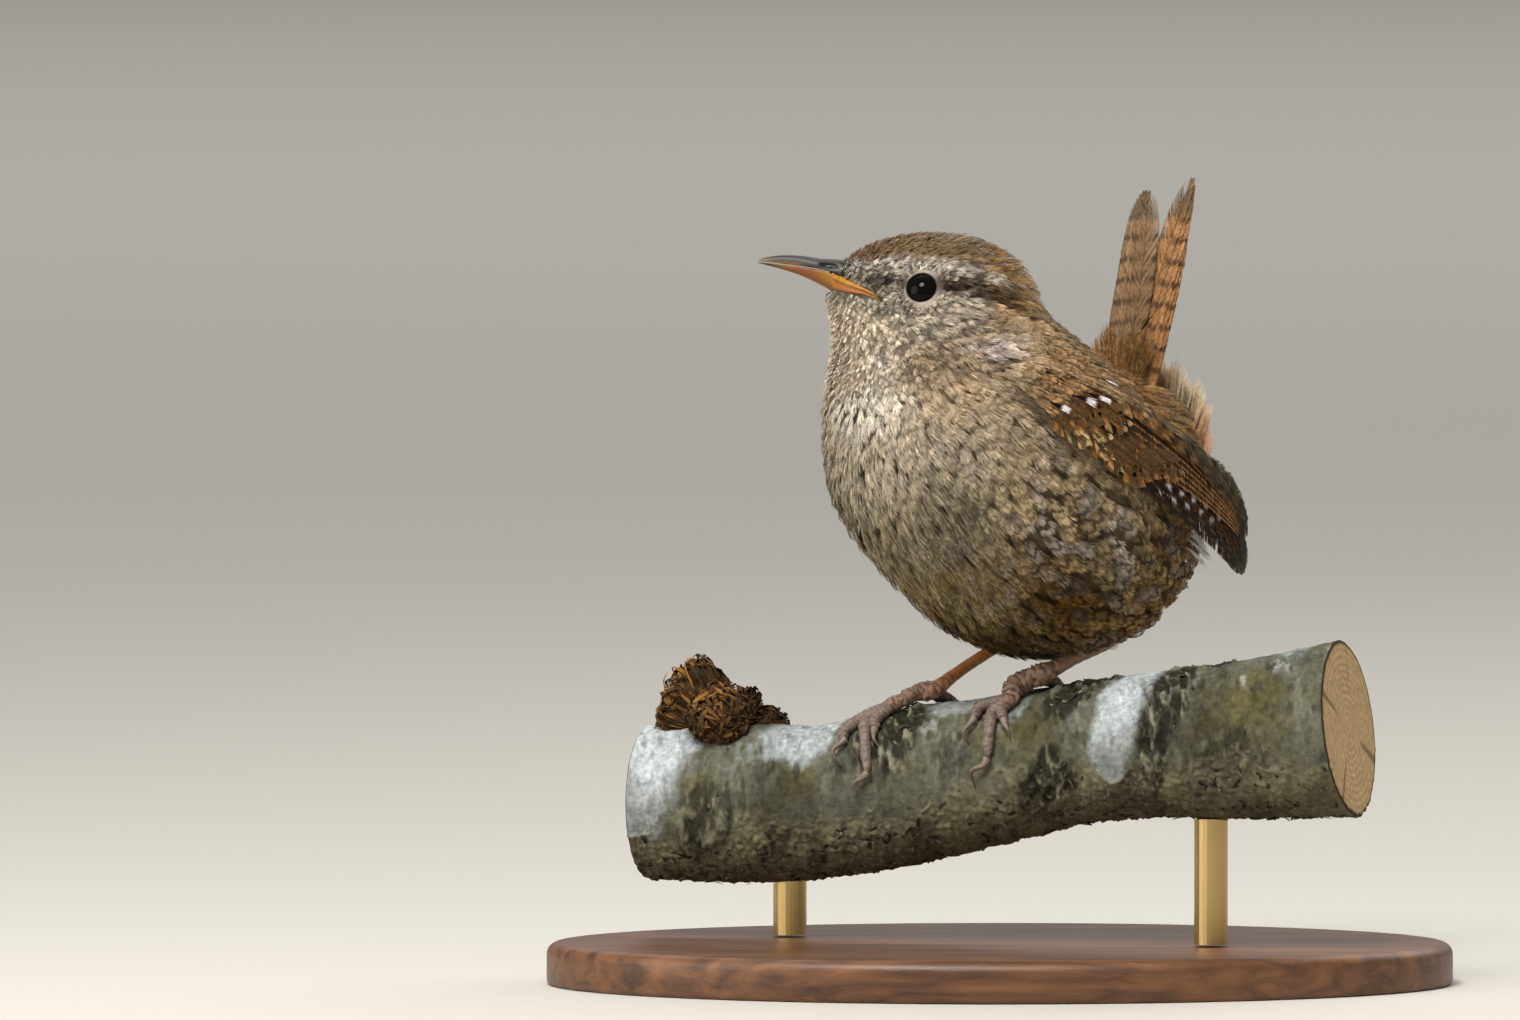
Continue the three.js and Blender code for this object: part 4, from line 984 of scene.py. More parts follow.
def vane(
    pile, sheet, root, tip, halves, lift, paint, flat,
    barbs=70, tip_from=0.78, camber=0.22, slant=1.25, bow=0.0, splits=3, tuck=0.0,
):
    """One flight feather: two rows of barbs that touch one another, and a shaft.

    halves are the widths of the vane at lower and at higher across; bow bends the feather sideways,
    and tuck sinks its higher edge and leaves the lower one flat.
    """
    root, tip = np.asarray(root, float), np.asarray(tip, float)
    halves = np.broadcast_to(halves, 2)
    length = np.linalg.norm(tip - root)
    ahead = (tip - root) / length
    aside = np.array([-ahead[1], ahead[0]])
    q = VANE_STATIONS
    start = np.repeat(np.linspace(0.02, 0.985, barbs)[None], 2, axis=0)
    for row in start:
        for gap in rng.uniform(0.25, 0.95, splits):
            away = row - gap
            row += SPLIT_WIDTH / length * np.sign(away) * np.exp(-np.abs(away) * length / SPLIT_REACH)
    side = np.array([-1, 1])[:, None]
    start = start + rng.normal(0, 0.12 / barbs, start.shape)
    half = halves[:, None]
    end = np.minimum(start + slant * half / length * outline(start, tip_from), 0.995)
    wide = side * half * outline(end, tip_from) * (1 + rng.normal(0, 0.02, start.shape))
    share = start[..., None] + (end - start)[..., None] * q
    across = wide[..., None] * q
    sink = (camber * (1 - tuck) + (camber + 0.15) * tuck * (side > 0))[..., None]
    uneven = rng.normal(0, 0.014, start.shape)[..., None]
    level = lift[0] + (lift[1] - lift[0]) * share - sink * q**2 + uneven
    bent = across + bow * 4 * share * (1 - share)
    spot = root + ahead * (share * length)[..., None] + aside * bent[..., None]
    centre = sheet(spot[..., 0], spot[..., 1], level)
    before = sheet(spot[..., 0] + 0.1 * ahead[0], spot[..., 1] + 0.1 * ahead[1], level)
    out = across / half[..., None]
    tints = paint(share, out, centre) * rng.normal(1, 0.09, start.shape)[..., None, None]
    patch = flat + PATCH * 0.5 * np.stack([out, 2 * share - 1], axis=-1)
    widths = np.broadcast_to(BARB_OVERLAP * length / barbs * VANE_WIDTHS, share.shape)
    flatten = (2 * barbs, len(q))
    pile.add(
        centre.reshape(*flatten, 3), unit(before - centre).reshape(*flatten, 3), widths.reshape(flatten),
        tints.reshape(*flatten, 3), np.zeros((*flatten, 3)), patch.reshape(*flatten, 2), pointed=False,
    )
    line = np.linspace(0, 0.97, SHAFT_STATIONS)
    rib = root + ahead * (line * length)[:, None] + aside * (bow * 4 * line * (1 - line))[:, None]
    height = lift[0] + (lift[1] - lift[0]) * line + SHAFT_RISE
    centre = sheet(rib[:, 0], rib[:, 1], height)
    beside = sheet(rib[:, 0] + 0.1 * aside[0], rib[:, 1] + 0.1 * aside[1], height)
    middle = np.zeros((1, SHAFT_STATIONS, 1))
    dark = 0.6 * paint(line[None, :, None], middle, centre[None, :, None])[0, :, 0]
    patch = flat + PATCH * 0.5 * np.stack([0 * line, 2 * line - 1], axis=-1)
    pile.add(
        centre[None], unit(beside - centre)[None], (SHAFT_ROOT - SHAFT_TAPER * line)[None], dark[None],
        np.zeros((1, SHAFT_STATIONS, 3)), patch[None],
    )


def sheet_guides(sheet, roots, tips, lifts):
    """Guide lines of soft feathers on a sheet, from arrays of roots and tips [along, across]."""
    share = np.linspace(0, 1, GUIDE)
    spots = roots[:, None] + (tips - roots)[:, None] * share[None, :, None]
    level = lifts[:, :1] + (lifts[:, 1:] - lifts[:, :1]) * GUIDE_RISE
    lines = sheet(spots[..., 0], spots[..., 1], level)
    ahead = sheet(spots[..., 0] + 0.1, spots[..., 1], level) - lines
    aside = sheet(spots[..., 0], spots[..., 1] + 0.1, level) - lines
    ups = unit(np.cross(ahead, aside))
    raised = sheet(spots[..., 0], spots[..., 1], level + 0.1) - lines
    return lines, ups * np.sign(np.sum(ups * raised, axis=-1, keepdims=True))


WING_COLOURS = {
    "black": rgb(23, 17, 10), "dark": rgb(44, 32, 18), "brown": rgb(92, 66, 36), "rufous": rgb(160, 104, 50),
    "pale": rgb(206, 186, 152), "cream": rgb(204, 182, 134), "covert": rgb(154, 108, 58),
    "scapular": rgb(182, 161, 131),
    "olive": rgb(74, 64, 36), "white": rgb(240, 234, 240), "line": rgb(206, 146, 80),
}


def grain(points, seed):
    return 1 + 0.2 * noise(points, 0.35, seed) + 0.12 * noise(points, 1.1, seed + 1)


def bars(share, length, period, duty, offset=0.0):
    """1 on dark bars across a feather, 0 between them."""
    phase = (share * length + offset) / period
    return smooth(duty, duty - 0.16, np.abs(phase - np.floor(phase) - 0.5) * 2)


FLIGHT_BAR = 1.9
# Two rows of small pale spots on the closed primaries: along, across
LADDER = np.array([
    (20.9, -2.05), (22.5, -1.85), (24.1, -1.45), (25.8, -1.1), (27.5, -1.0),
    (21.4, -1.1), (22.9, -0.95), (24.3, -0.75), (25.8, -0.45), (28.2, -0.45),
])
SPOT_SIZE = np.array([0.27, 0.17])


def primary_paint(length, start, centre, half, offset):
    """Nearly black, with fine rufous edges and the spots of the ladder where they lie on this feather."""
    c = WING_COLOURS

    def paint(share, across, points):
        along = start + share * length
        wide = np.where(across < 0, half[0], half[1]) * across + centre
        spot = stacked(along, wide)
        gaps = np.linalg.norm((spot[..., None, :] - LADDER) / SPOT_SIZE, axis=-1).min(axis=-1)
        dark = bars(share, length, 2.1, 0.5, offset)
        edge = smooth(-0.78, -0.9, across) * smooth(18, 22, along) * smooth(39, 33, along)
        web = mix(0.8 * c["black"], c["brown"], 0.08 * (1 - dark))
        colour = mix(web, c["rufous"], 0.4 * edge * (1 - dark))
        colour = mix(colour, c["white"] * 0.85, smooth(1.25, 0.75, gaps))
        return mix(colour, c["olive"], smooth(36, 42, along)) * grain(points, 41)[..., None]

    return paint


def secondary_paint(length, offset):
    """Dark webs with thin rufous edges that show as fine lines on the closed wing."""
    c = WING_COLOURS

    def paint(share, across, points):
        dark = bars(share, length, FLIGHT_BAR, 0.4, offset)
        edge = smooth(-0.84, -0.95, across) * smooth(0.97, 0.8, share)
        web = mix(c["black"], c["brown"], 0.1 + 0.15 * (1 - dark))
        line = mix(c["line"], c["brown"], 0.3 * dark)
        return mix(web, line, edge) * grain(points, 43)[..., None]

    return paint


def tertial_paint(length, offset):
    """Brown with broad dark bars."""
    c = WING_COLOURS

    def paint(share, across, points):
        dark = bars(share + 0.03 * across**2, length, FLIGHT_BAR, 0.55, offset)
        base = mix(c["covert"] * 1.15, c["olive"] * 1.4, smooth(0.3, 0.9, share))
        return mix(base, c["dark"], 0.25 + 0.6 * dark) * grain(points, 45)[..., None]

    return paint


def greater_paint(length, offset, pale=0.9):
    """Nearly black centres, rufous notches, and a thin wavy cream edge round the tip."""
    c = WING_COLOURS

    def paint(share, across, points):
        notch = 1 - bars(share, length, 1.5, 0.6, offset)
        wave = 0.1 * np.sin(26 * share + 5 * offset)
        outer = smooth(-0.05, -0.45, across + wave)
        rim = smooth(0.5, 0.62, np.abs(across) + wave) * smooth(0.45, 0.7, share)
        rim = rim * smooth(0.95, 0.85, np.abs(across))
        web = mix(c["black"], 1.15 * c["brown"], 0.8)
        colour = mix(web, c["rufous"], 0.9 * outer * notch)
        colour = mix(colour, c["cream"], 0.85 * pale * rim * smooth(0.3, -0.3, across))
        tip = mix(c["covert"], c["cream"], pale)
        return mix(colour, tip, 0.8 * smooth(0.92, 0.97, share)) * grain(points, 47)[..., None]

    return paint


# Primaries from the inner to the outer: reach of the tip, across
PRIMARIES = [
    (36.5, 0.5), (38.5, 0.35), (40.5, 0.2), (42.4, 0.05),
    (44.2, -0.15), (46, -0.55), (44.6, -1.15), (41.5, -1.7),
]
PRIMARY_ROOT = 11
COVERT_SCATTER = (0.5, 0.12)
NO_SCATTER = None
LONG = {"tuck": 1}
SHORT = {"slant": 1.0}
# Rows of feathers over the primaries, from the lowest up: the order of their numbers, root and its step,
# tip and its step, half width or widths, lift at the root, at the tip and its step, paint by number,
# scatter of the tips, shape. They are secondaries, inner secondaries, tertials, then lower, greater
# and primary coverts.
WING_ROWS = [
    (range(6, -1, -1), (12, 4.1), (0, -0.66), (32.0, 1.8), (0.5, -0.12), (1.3, 1.4), (0.35, 1.05, -0.1),
     lambda j: secondary_paint(22, 0.4 * j), NO_SCATTER,
     {**LONG, "barbs": 90, "tip_from": 0.85, "splits": 1}),
    (range(3, -1, -1), (11, 4.3), (0, -0.4), (30.0, 2.5), (0.9, -0.3), (1.1, 1.2), (0.6, 1.25, -0.07),
     lambda j: tertial_paint(20, 0.7 * j), NO_SCATTER, {**LONG, "tip_from": 0.8}),
    (range(2, -1, -1), (10, 4.6), (1.2, -0.7), (23.0, 3.1), (2.2, -0.45), 1.25, (0.8, 1.5, -0.1),
     lambda j: tertial_paint(18, 0.5 * j), NO_SCATTER, {**LONG, "tip_from": 0.7}),
    (range(5, -1, -1), (11.5, -2.0), (0.9, 0.5), (18.0, -2.5), (0.8, 0.5), 0.85, (0.35, 0.95, 0),
     lambda j: greater_paint(6, 0.6 * j, 0.1), COVERT_SCATTER, {**SHORT, "barbs": 34}),
    (range(9), (6.6, -1.9), (0.8, 0.92), (12.2, -2.6), (0.78, 0.95), 0.95, (0.65, 1.2, 0),
     lambda j: greater_paint(7, 0.45 * j, 0.95 if j < 3 else 0.45), COVERT_SCATTER, {**SHORT, "barbs": 34}),
    (range(4), (8.4, -1.0), (1.1, -0.25), (12.2, -1.5), (1.25, -0.38), 0.62, (0.9, 1.35, 0),
     lambda j: greater_paint(5, 0.8 * j, 0.95), NO_SCATTER, {**SHORT, "barbs": 30}),
]


def wing(side, name, flight_finish, soft_finish):
    """One folded wing, from the lowest feathers to the highest."""
    sheet = wing_sheet(side)
    flight = Pile()
    flat_place = np.array([0.5 + 0.3 * side, 0.5])
    count = itertools.count()

    def feather(root, tip, halves, lift, paint, **shape):
        index = next(count)
        flat = flat_place + 0.012 * np.array([index % 7 - 3, index // 7 - 2])
        vane(flight, sheet, root, tip, halves, lift, paint, flat, **shape)

    for j, (reach, across) in reversed(list(enumerate(PRIMARIES))):
        root, tip, halves = (PRIMARY_ROOT, across - 0.3), (reach, across), (1.1, 1.3)
        paint = primary_paint(reach - PRIMARY_ROOT, PRIMARY_ROOT, across - 0.15, halves, 1.1 * j)
        lift = (-0.25, 0.15 - 0.09 * j)
        feather(root, tip, halves, lift, paint, barbs=110, tip_from=0.8, tuck=1, splits=1)
    for numbers, root, root_step, tip, tip_step, halves, lift, paint, scattered, shape in WING_ROWS:
        low, high, rise = lift
        for j in numbers:
            start, end = np.array(root) + j * np.array(root_step), np.array(tip) + j * np.array(tip_step)
            if scattered is not NO_SCATTER:
                end = end + rng.normal(0, scattered)
            feather(start, end, halves, (low, high + rise * j), paint(j), **shape)
    flight.pieces(f"{name}_flight", flight_finish, "plumage_wing", name)

    soft = Pile()
    wing_coverts(soft, sheet, flat_place)
    soft.pieces(f"{name}_coverts", soft_finish, "plumage_wing")


# Rows of soft coverts: count, root, tip, step of root, step of tip, half width, lift
COVERT_ROWS = [
    (8, (3.4, -1.0), (8.2, -1.2), (0.9, 0.95), (1.0, 1.0), 0.85, 1.25),
    (8, (1.4, -0.5), (5.8, -0.6), (0.95, 0.9), (1.0, 1.0), 0.85, 1.35),
    (8, (-0.6, 0.0), (3.6, -0.1), (0.95, 0.9), (1.0, 0.95), 0.85, 1.35),
    (7, (-2.0, 0.6), (1.6, 0.4), (0.9, 0.8), (1.0, 0.9), 0.8, 1.0),
]
# White tips of four median coverts: along, across
COVERT_SPOTS = np.array([(8.4, -0.7), (11.1, 0.8), (12.4, 1.5), (13.8, 4.3)])
SCAPULARS = 200


def wing_coverts(pile, sheet, flat_place):
    """Median and lesser coverts with their spots, and the loose scapulars over the wing's upper edge."""
    c = WING_COLOURS
    rows = []
    for count, root, tip, root_step, tip_step, half, lift in COVERT_ROWS:
        k = np.arange(count)[:, None]
        end = np.array(tip) + k * np.array(tip_step) + rng.normal(0, (0.4, 0.15), (count, 2))
        start = np.array(root) + k * np.array(root_step)
        lifts = np.tile([lift - 0.8, lift], (count, 1))
        rows.append((start, end, np.full(count, half), lifts, np.zeros(count)))
    ends = rng.uniform((0.5, 2.6), (25, 8.8), (SCAPULARS, 2))
    ends = ends[ends[:, 1] < np.interp(ends[:, 0], [7, 11, 14, 18, 25], [8.4, 6.6, 5.2, 3.9, 2.8])]
    ends = ends[ends[:, 1] > 2.8 - 0.03 * ends[:, 0]]
    ends = ends[np.argsort(-ends[:, 0])]
    count = len(ends)
    wide = rng.uniform(0.85, 1.15, count)
    lifts = np.stack([np.full(count, 0.3), rng.uniform(1.0, 1.4, count)], axis=-1)
    rows.append((ends - (4.2, 0.4), ends, wide, lifts, np.ones(count)))
    roots, tips, halves, lifts, loose = map(np.concatenate, zip(*rows))
    near_neck = smooth(11, 2, tips[:, 0]) * loose + smooth(8, 2.5, tips[:, 0]) * (1 - loose)
    lifts = lifts - 0.7 * (smooth(4, -1, tips[:, 0]) * loose)[:, None]
    lines, ups = sheet_guides(sheet, roots, tips, lifts)
    base = mix(1.9 * c["covert"], c["scapular"], 0.45 + 0.3 * loose)
    base = mix(base, 1.4 * markings(lines[:, -1]), near_neck)
    base = base * rng.normal(1, 0.14, (len(tips), 1))

    def paint(share, across, points):
        # Painted shade: each covert darker towards its root, in the gaps between coverts, and lighter along
        # its rim near the tip.
        rim = np.maximum(smooth(0.3, 0.75, np.abs(across)), smooth(0.8, 0.9, share))
        shade = 0.5 + 0.35 * smooth(0.4, 0.7, share) + 0.4 * rim * smooth(0.5, 0.75, share)
        colour = base[:, None, None] * shade[..., None]
        pale_rim = (0.6 * (1 - loose))[:, None, None] * rim * smooth(0.6, 0.85, share)
        return mix(colour, c["cream"], pale_rim)

    flat = flat_place + rng.uniform(-0.03, 0.03, (len(roots), 2))
    strength = (0.7 - 0.25 * loose) * (1 - 0.8 * near_neck)
    fans(
        pile, lines, ups, halves, flat, paint, strength,
        28, 5, 0.06, clumps=4, fluff=0.06, spread=0.2, puff=0.3,
    )

    spots = len(COVERT_SPOTS)
    lifts = np.tile([1.3, 1.9], (spots, 1))
    lines, ups = sheet_guides(sheet, COVERT_SPOTS - (2.4, 0.1), COVERT_SPOTS + (0.6, 0.0), lifts)

    def spot_paint(share, across, points):
        return mix(c["black"], c["white"], smooth(0.52, 0.6, share))

    flat = flat_place + 0.01 * np.arange(spots)[:, None]
    fans(
        pile, lines, ups, np.full(spots, 0.42), flat, spot_paint, np.zeros(spots),
        18, 9, 0.06, clumps=1, tone=0.03, fluff=0.02,
    )


# Tail

TAIL_ROOT = np.array([-14.9, 0, 6.8])
TAIL_LEAN = math.radians(17)
TAIL_ALONG = np.array([-math.sin(TAIL_LEAN), 0, math.cos(TAIL_LEAN)])
TAIL_FACE = np.array([math.cos(TAIL_LEAN), 0, math.sin(TAIL_LEAN)])
TAIL_START = 3
# Feathers of each bunch, the lowest first: root across, tip [along, across], widths to the right
# and to the left of the shaft, bow, lift.
TAIL_RIGHT = [
    (-2.7, (25.5, -4.6), (1.4, 1.4), -0.2, -0.35), (-2.2, (27.4, -4.9), (1.5, 1.5), -0.2, -0.15),
    (-1.6, (28.5, -4.7), (1.5, 1.6), -0.2, 0.1), (-0.8, (29.1, -4.2), (1.5, 1.8), 0.2, 0.3),
    (0.0, (29.5, -3.4), (1.7, 2.0), 0.8, 0.5), (0.4, (29.4, -2.5), (2.1, 2.3), 1.5, 0.75),
]
TAIL_LEFT = [
    (4.9, (22.0, 4.4), (1.4, 1.4), 0.2, -0.7), (4.9, (24.8, 4.6), (1.5, 1.4), 0.2, -0.5),
    (4.3, (27.6, 4.5), (1.6, 1.4), 0.1, -0.3), (3.2, (29.4, 4.9), (1.7, 1.3), 0.0, -0.1),
    (2.5, (30.6, 5.0), (1.9, 1.2), -0.4, 0.05), (2.0, (31.4, 4.9), (2.4, 1.1), -0.8, 0.25),
]
TAIL_BAR = 2.65
TAIL_BAR_START = 1.62
TAIL_COLOURS = {
    "left": rgb(158, 114, 72), "right": rgb(132, 103, 74), "tip": rgb(84, 70, 50), "dark": rgb(48, 35, 22),
}
TAIL_COVERTS = 60


def tail_sheet(along, across, layer):
    """Points of the tail's plane, raised by a layer."""
    along, across, layer = np.broadcast_arrays(along, across, layer)
    spot = TAIL_ROOT + along[..., None] * TAIL_ALONG + layer[..., None] * TAIL_FACE
    return on_body(spot + across[..., None] * np.array([0, 1, 0]))


def tail_paint(base, length, seed):
    """Narrow dark bars at even steps along the tail, each feather a little off the next."""
    c = TAIL_COLOURS
    own = np.random.default_rng(seed)
    shade, shift = own.normal(1, 0.07), own.normal(0, 0.12)

    def paint(share, across, points):
        along = TAIL_START + share * length
        wave = 0.22 * np.sin(3.1 * across + 5 * shift) + 0.18 * noise(points, 0.8, 55)
        dark = bars(along + wave + shift, 1.0, TAIL_BAR, 0.36, TAIL_BAR_START)
        dark = dark * (0.75 + 0.25 * smooth(0.2, 0.9, np.abs(across)))
        colour = mix(base * shade, c["dark"], 0.8 * dark)
        tip = smooth(25.0, 27.5, along)
        edge = 0.7 * smooth(0.86, 1.0, np.abs(across))
        return mix(mix(colour, c["tip"], 0.8 * tip), c["dark"], edge) * grain(points, 51)[..., None]

    return paint


def tail(finish, soft_finish):
    """Two bunches of cocked tail feathers, with soft coverts over their feet."""
    pile = Pile()
    for bunch, (feathers, base) in enumerate(((TAIL_LEFT, "left"), (TAIL_RIGHT, "right"))):
        for k, (across, tip, halves, bow, lift) in enumerate(feathers):
            flat = np.array([0.5, 0.93]) + 0.01 * np.array([bunch - 0.5, k - 2.5])
            paint = tail_paint(TAIL_COLOURS[base], tip[0] - TAIL_START, 10 * bunch + k)
            vane(
                pile, tail_sheet, (TAIL_START, across), tip, halves, (0.6 * lift, lift), paint, flat,
                barbs=110, bow=bow, camber=0.12, splits=1,
            )
    pile.pieces("tail_feathers", finish, "plumage_tail", "tail")

    soft = Pile()
    count = TAIL_COVERTS
    tips = rng.uniform((7, -5.8), (13.5, 6.4), (count, 2))
    tips = tips[np.argsort(-tips[:, 0])]
    roots = np.stack([tips[:, 0] - 5.4, 0.55 * tips[:, 1]], axis=-1)
    lifts = np.tile([0.2, 1.25], (count, 1))
    lines, ups = sheet_guides(tail_sheet, roots, tips, lifts)
    base = np.tile(COLOURS["rump"], (count, 1))
    flat = np.array([0.5, 0.9]) + rng.uniform(-0.02, 0.02, (count, 2))
    strength = np.full(count, 0.55)
    fans(soft, lines, ups, np.full(count, 1.2), flat, coat_paint(base), strength, 26, 5, 0.058)
    soft.pieces("tail_coverts", soft_finish, "plumage_tail")


# Rows: root and tip on the middle plane [forward, up], count, spacing to the sides, share of white
UNDERTAIL_ROWS = [
    ((-19.0, 4.5), (-22.3, 16.8), 22, 0.45, 0.6),
    ((-19.5, 4.5), (-23.2, 17.6), 22, 0.45, 0.8),
    ((-20.0, 4.0), (-23.8, 17.6), 22, 0.45, 0.9),
    ((-20.5, 3.5), (-24.4, 16.8), 22, 0.48, 0.9),
    ((-21.0, 3.0), (-25.1, 15.6), 22, 0.48, 0.9),
    ((-21.5, 2.2), (-25.8, 14.4), 22, 0.48, 0.7),
    ((-21.5, 1.5), (-26.6, 13.3), 22, 0.48, 0.5),
    ((-21.8, 0.8), (-27.3, 12.2), 22, 0.5, 0.3),
    ((-22, 0.5), (-27.8, 11.0), 22, 0.5, 0.15),
    ((-22.3, -0.6), (-28.0, 9.2), 20, 0.5, 0.05),
    ((-22.5, -1.5), (-27.6, 7.6), 20, 0.55, 0.05),
]


UNDERTAIL_PALE, UNDERTAIL_BUFF = rgb(252, 244, 230), rgb(250, 224, 194)
# Roots of the wisp of white down that shows in the notch between the flank and the wing
WISP_ROOTS = np.array([(-13.5, 16.0, -4.0), (-14.2, 15.6, -4.8), (-14.6, 15.4, -5.8), (-14.2, 15.2, -6.6)])
WISP_COLOUR = rgb(250, 246, 240)


def undertail(finish):
    """The fluffed, pale coverts behind the foot of the tail."""
    pile = Pile()
    for row, (root, tip, count, spacing, white) in enumerate(UNDERTAIL_ROWS):
        side = (np.arange(count) - (count - 1) / 2) * spacing
        reach = rng.uniform(0.82, 1.02, count)
        start = np.stack([np.full(count, root[0]), 0.6 * side, np.full(count, root[1])], axis=-1)
        goal = np.stack([np.full(count, tip[0]), side, np.full(count, tip[1])], axis=-1)
        goal = start + (goal - start) * reach[:, None] + rng.normal(0, 0.25, (count, 3))
        share = np.linspace(0, 1, GUIDE)
        bulge = np.array([-0.9, 0, -0.35]) * 1.2
        lines = start[:, None] + (goal - start)[:, None] * share[None, :, None]
        lines = lines + (4 * share * (1 - share))[None, :, None] * bulge
        ups = np.broadcast_to(unit(np.array([-0.92, 0, -0.38])) @ BODY_AXES, (count, GUIDE, 3))
        tilt = (side / 3.5)[:, None, None] * BODY_AXES[1]
        base = mix(UNDERTAIL_BUFF, UNDERTAIL_PALE, white) * rng.normal(1, 0.06, (count, 1))

        def paint(share, across, points, base=base):
            strand = rng.normal(1, 0.08, share.shape[:2] + (1,))
            return base[:, None, None] * (strand * np.ones(share.shape))[..., None]

        flat = np.array([0.5 + 0.03 * row, 0.08]) + rng.uniform(-0.01, 0.01, (count, 2))
        strength = np.full(count, 0.05)
        fans(
            pile, on_body(lines), unit(ups + tilt), np.full(count, 1.5), flat, paint, strength,
            34, 5, 0.15, clumps=2, gather=0.05, tone=0.06, fluff=0.1, spread=0.4,
        )
    for side in (1, -1):
        wisp(pile, side)
    undertail_down(finish)
    pile.pieces("undertail_coverts", finish, "plumage_undertail", "undertail")


def wisp(pile, side):
    """A few feathers of white down at the rear of one flank."""
    share = np.linspace(0, 1, GUIDE)[None, :, None]
    lines = WISP_ROOTS[:, None] + np.array([-3.2, 0.6, -3.0]) * share
    lines = (lines + np.array([-0.5, 0.5, 0.8]) * share * (1 - share)) * np.array([1, side, 1])
    ups = np.broadcast_to(np.array([-0.3, 0.9 * side, 0.2]) @ BODY_AXES, lines.shape)
    count = len(WISP_ROOTS)

    def down(share, across, points):
        return WISP_COLOUR * np.ones(share.shape + (1,))

    flat = np.array([0.5 + 0.1 * side, 0.05]) + 0.004 * np.arange(count)[:, None]
    halves, strength = np.full(count, 0.5), np.zeros(count)
    fans(pile, on_body(lines), ups, halves, flat, down, strength, 20, 5, 0.07, clumps=3, fluff=0.15)


def undertail_down(finish):
    """The soft mass that the undertail's feathers cover: rings along the lines of its rows."""
    rows = np.array([(*root, *tip) for root, tip, *_ in UNDERTAIL_ROWS])
    share, turn = np.linspace(0.05, 0.8, 26)[:, None], full_turn(40)
    wide = np.sqrt(np.maximum(1 - ((share - 0.3) / 0.52) ** 2, 0))
    row = (0.5 + 0.46 * wide * np.cos(turn)) * (len(rows) - 1)
    start_forward, start_up, end_forward, end_up = (
        np.interp(row, np.arange(len(rows)), column) for column in rows.T
    )
    forward = start_forward + (end_forward - start_forward) * share - 4 * share * (1 - share)
    up = start_up + (end_up - start_up) * share
    rings = on_body(np.stack([forward, 3.6 * wide * np.sin(turn), up], axis=-1))
    uneven = 0.5 * noise(rings, 1.3, 95) * np.sign(np.sin(turn))
    rings = rings + uneven[..., None] * BODY_AXES[1]
    tint = 0.9 * mix(UNDERTAIL_BUFF, UNDERTAIL_PALE, np.full(row.shape, 0.5))
    shell("undertail_down", rings, tint, finish, "plumage_undertail")


# Bill, gape and lids

# Stations: forward, ridge, mouth line, lower edge, half width
BILL_STATIONS = np.array([
    (21.4, 6.55, 6.5, 6.4, 0.06), (20.5, 6.95, 6.45, 6.15, 0.35), (18.5, 7.25, 6.2, 5.6, 0.65),
    (16.1, 7.2, 5.9, 4.8, 1.0), (13.6, 6.85, 5.5, 3.6, 1.45), (11.5, 6.7, 4.7, 2.45, 1.9),
    (7.5, 6.2, 3.2, 1.2, 2.6),
])
MOUTH_GAP = 0.16
NOSTRIL = (12.9, 6.05)
NOSTRIL_SIZE = (1.05, 0.26)
# The soft band from the bill to the corner of the mouth: forward, its upper and its lower edge
GAPE = np.array([
    (7.0, 2.45, 2.2), (7.9, 2.95, 2.35), (9.07, 3.6, 2.75),
    (10.3, 4.2, 2.85), (11.45, 4.8, 3.0), (12.5, 5.4, 3.3),
])
# The corner and groove colours are painted shade, in the corner of the mouth and along the mouth line.
GAPE_COLOURS = {
    "upper": rgb(161, 109, 27), "lower": rgb(135, 78, 29),
    "corner": rgb(86, 56, 24), "groove": rgb(83, 49, 20),
}


def in_gape(points):
    """True on the soft band at the mouth's corner."""
    forward, _, up = head_parts(points)
    below = up < read_table(GAPE, forward, 1) + 0.05
    return (forward > GAPE[0, 0]) & below & (up > read_table(GAPE, forward, 2))


def in_bill(points):
    """True where the bill and its soft band leave the face."""
    forward, side, up = head_parts(points)
    ridge, low, wide = (read_table(BILL_STATIONS[::-1], forward, k) for k in (1, 3, 4))
    inside = (forward > 12.0) & (up < ridge - 0.25) & (up > low - 0.1) & (np.abs(side) < wide)
    return inside | in_gape(points)


# The ridge colour is a painted highlight along the top of the upper bill; the nostril colour is painted
# shade in its opening.
BILL_COLOURS = {
    "side": rgb(34, 28, 27), "ridge": rgb(76, 67, 71), "cutting edge": rgb(129, 95, 35),
    "nostril": rgb(19, 16, 9), "lower": rgb(126, 80, 14), "lower middle": rgb(119, 67, 26),
    "lower tip": rgb(67, 53, 27), "lower root": rgb(130, 85, 14), "lower side": rgb(140, 95, 15),
    "keel": rgb(119, 73, 26),
}
BILL_ROWS, ARCH_COLUMNS, FLOOR_COLUMNS = 60, 20, 8
LOWER_BILL_TIP = 20.95


def bill_section():
    """Across one half of the bill: an arch over a flat floor, as (share of half width, of height)."""
    turn = np.linspace(0, math.pi, ARCH_COLUMNS)
    wide = np.sign(np.cos(turn)) * np.abs(np.cos(turn)) ** 0.8
    arch = np.stack([wide, np.sin(turn)], axis=-1)
    floor = np.stack([np.linspace(-0.94, 0.94, FLOOR_COLUMNS), np.full(FLOOR_COLUMNS, 0.04)], axis=-1)
    return np.vstack([arch, floor])


def nostril_dent(forward, across, height):
    slope = height - NOSTRIL[1] - 0.12 * (forward - NOSTRIL[0])
    gap = np.hypot((forward - NOSTRIL[0]) / NOSTRIL_SIZE[0], slope / NOSTRIL_SIZE[1])
    return smooth(1.25, 0.75, gap) * (np.abs(across) > 0.8)


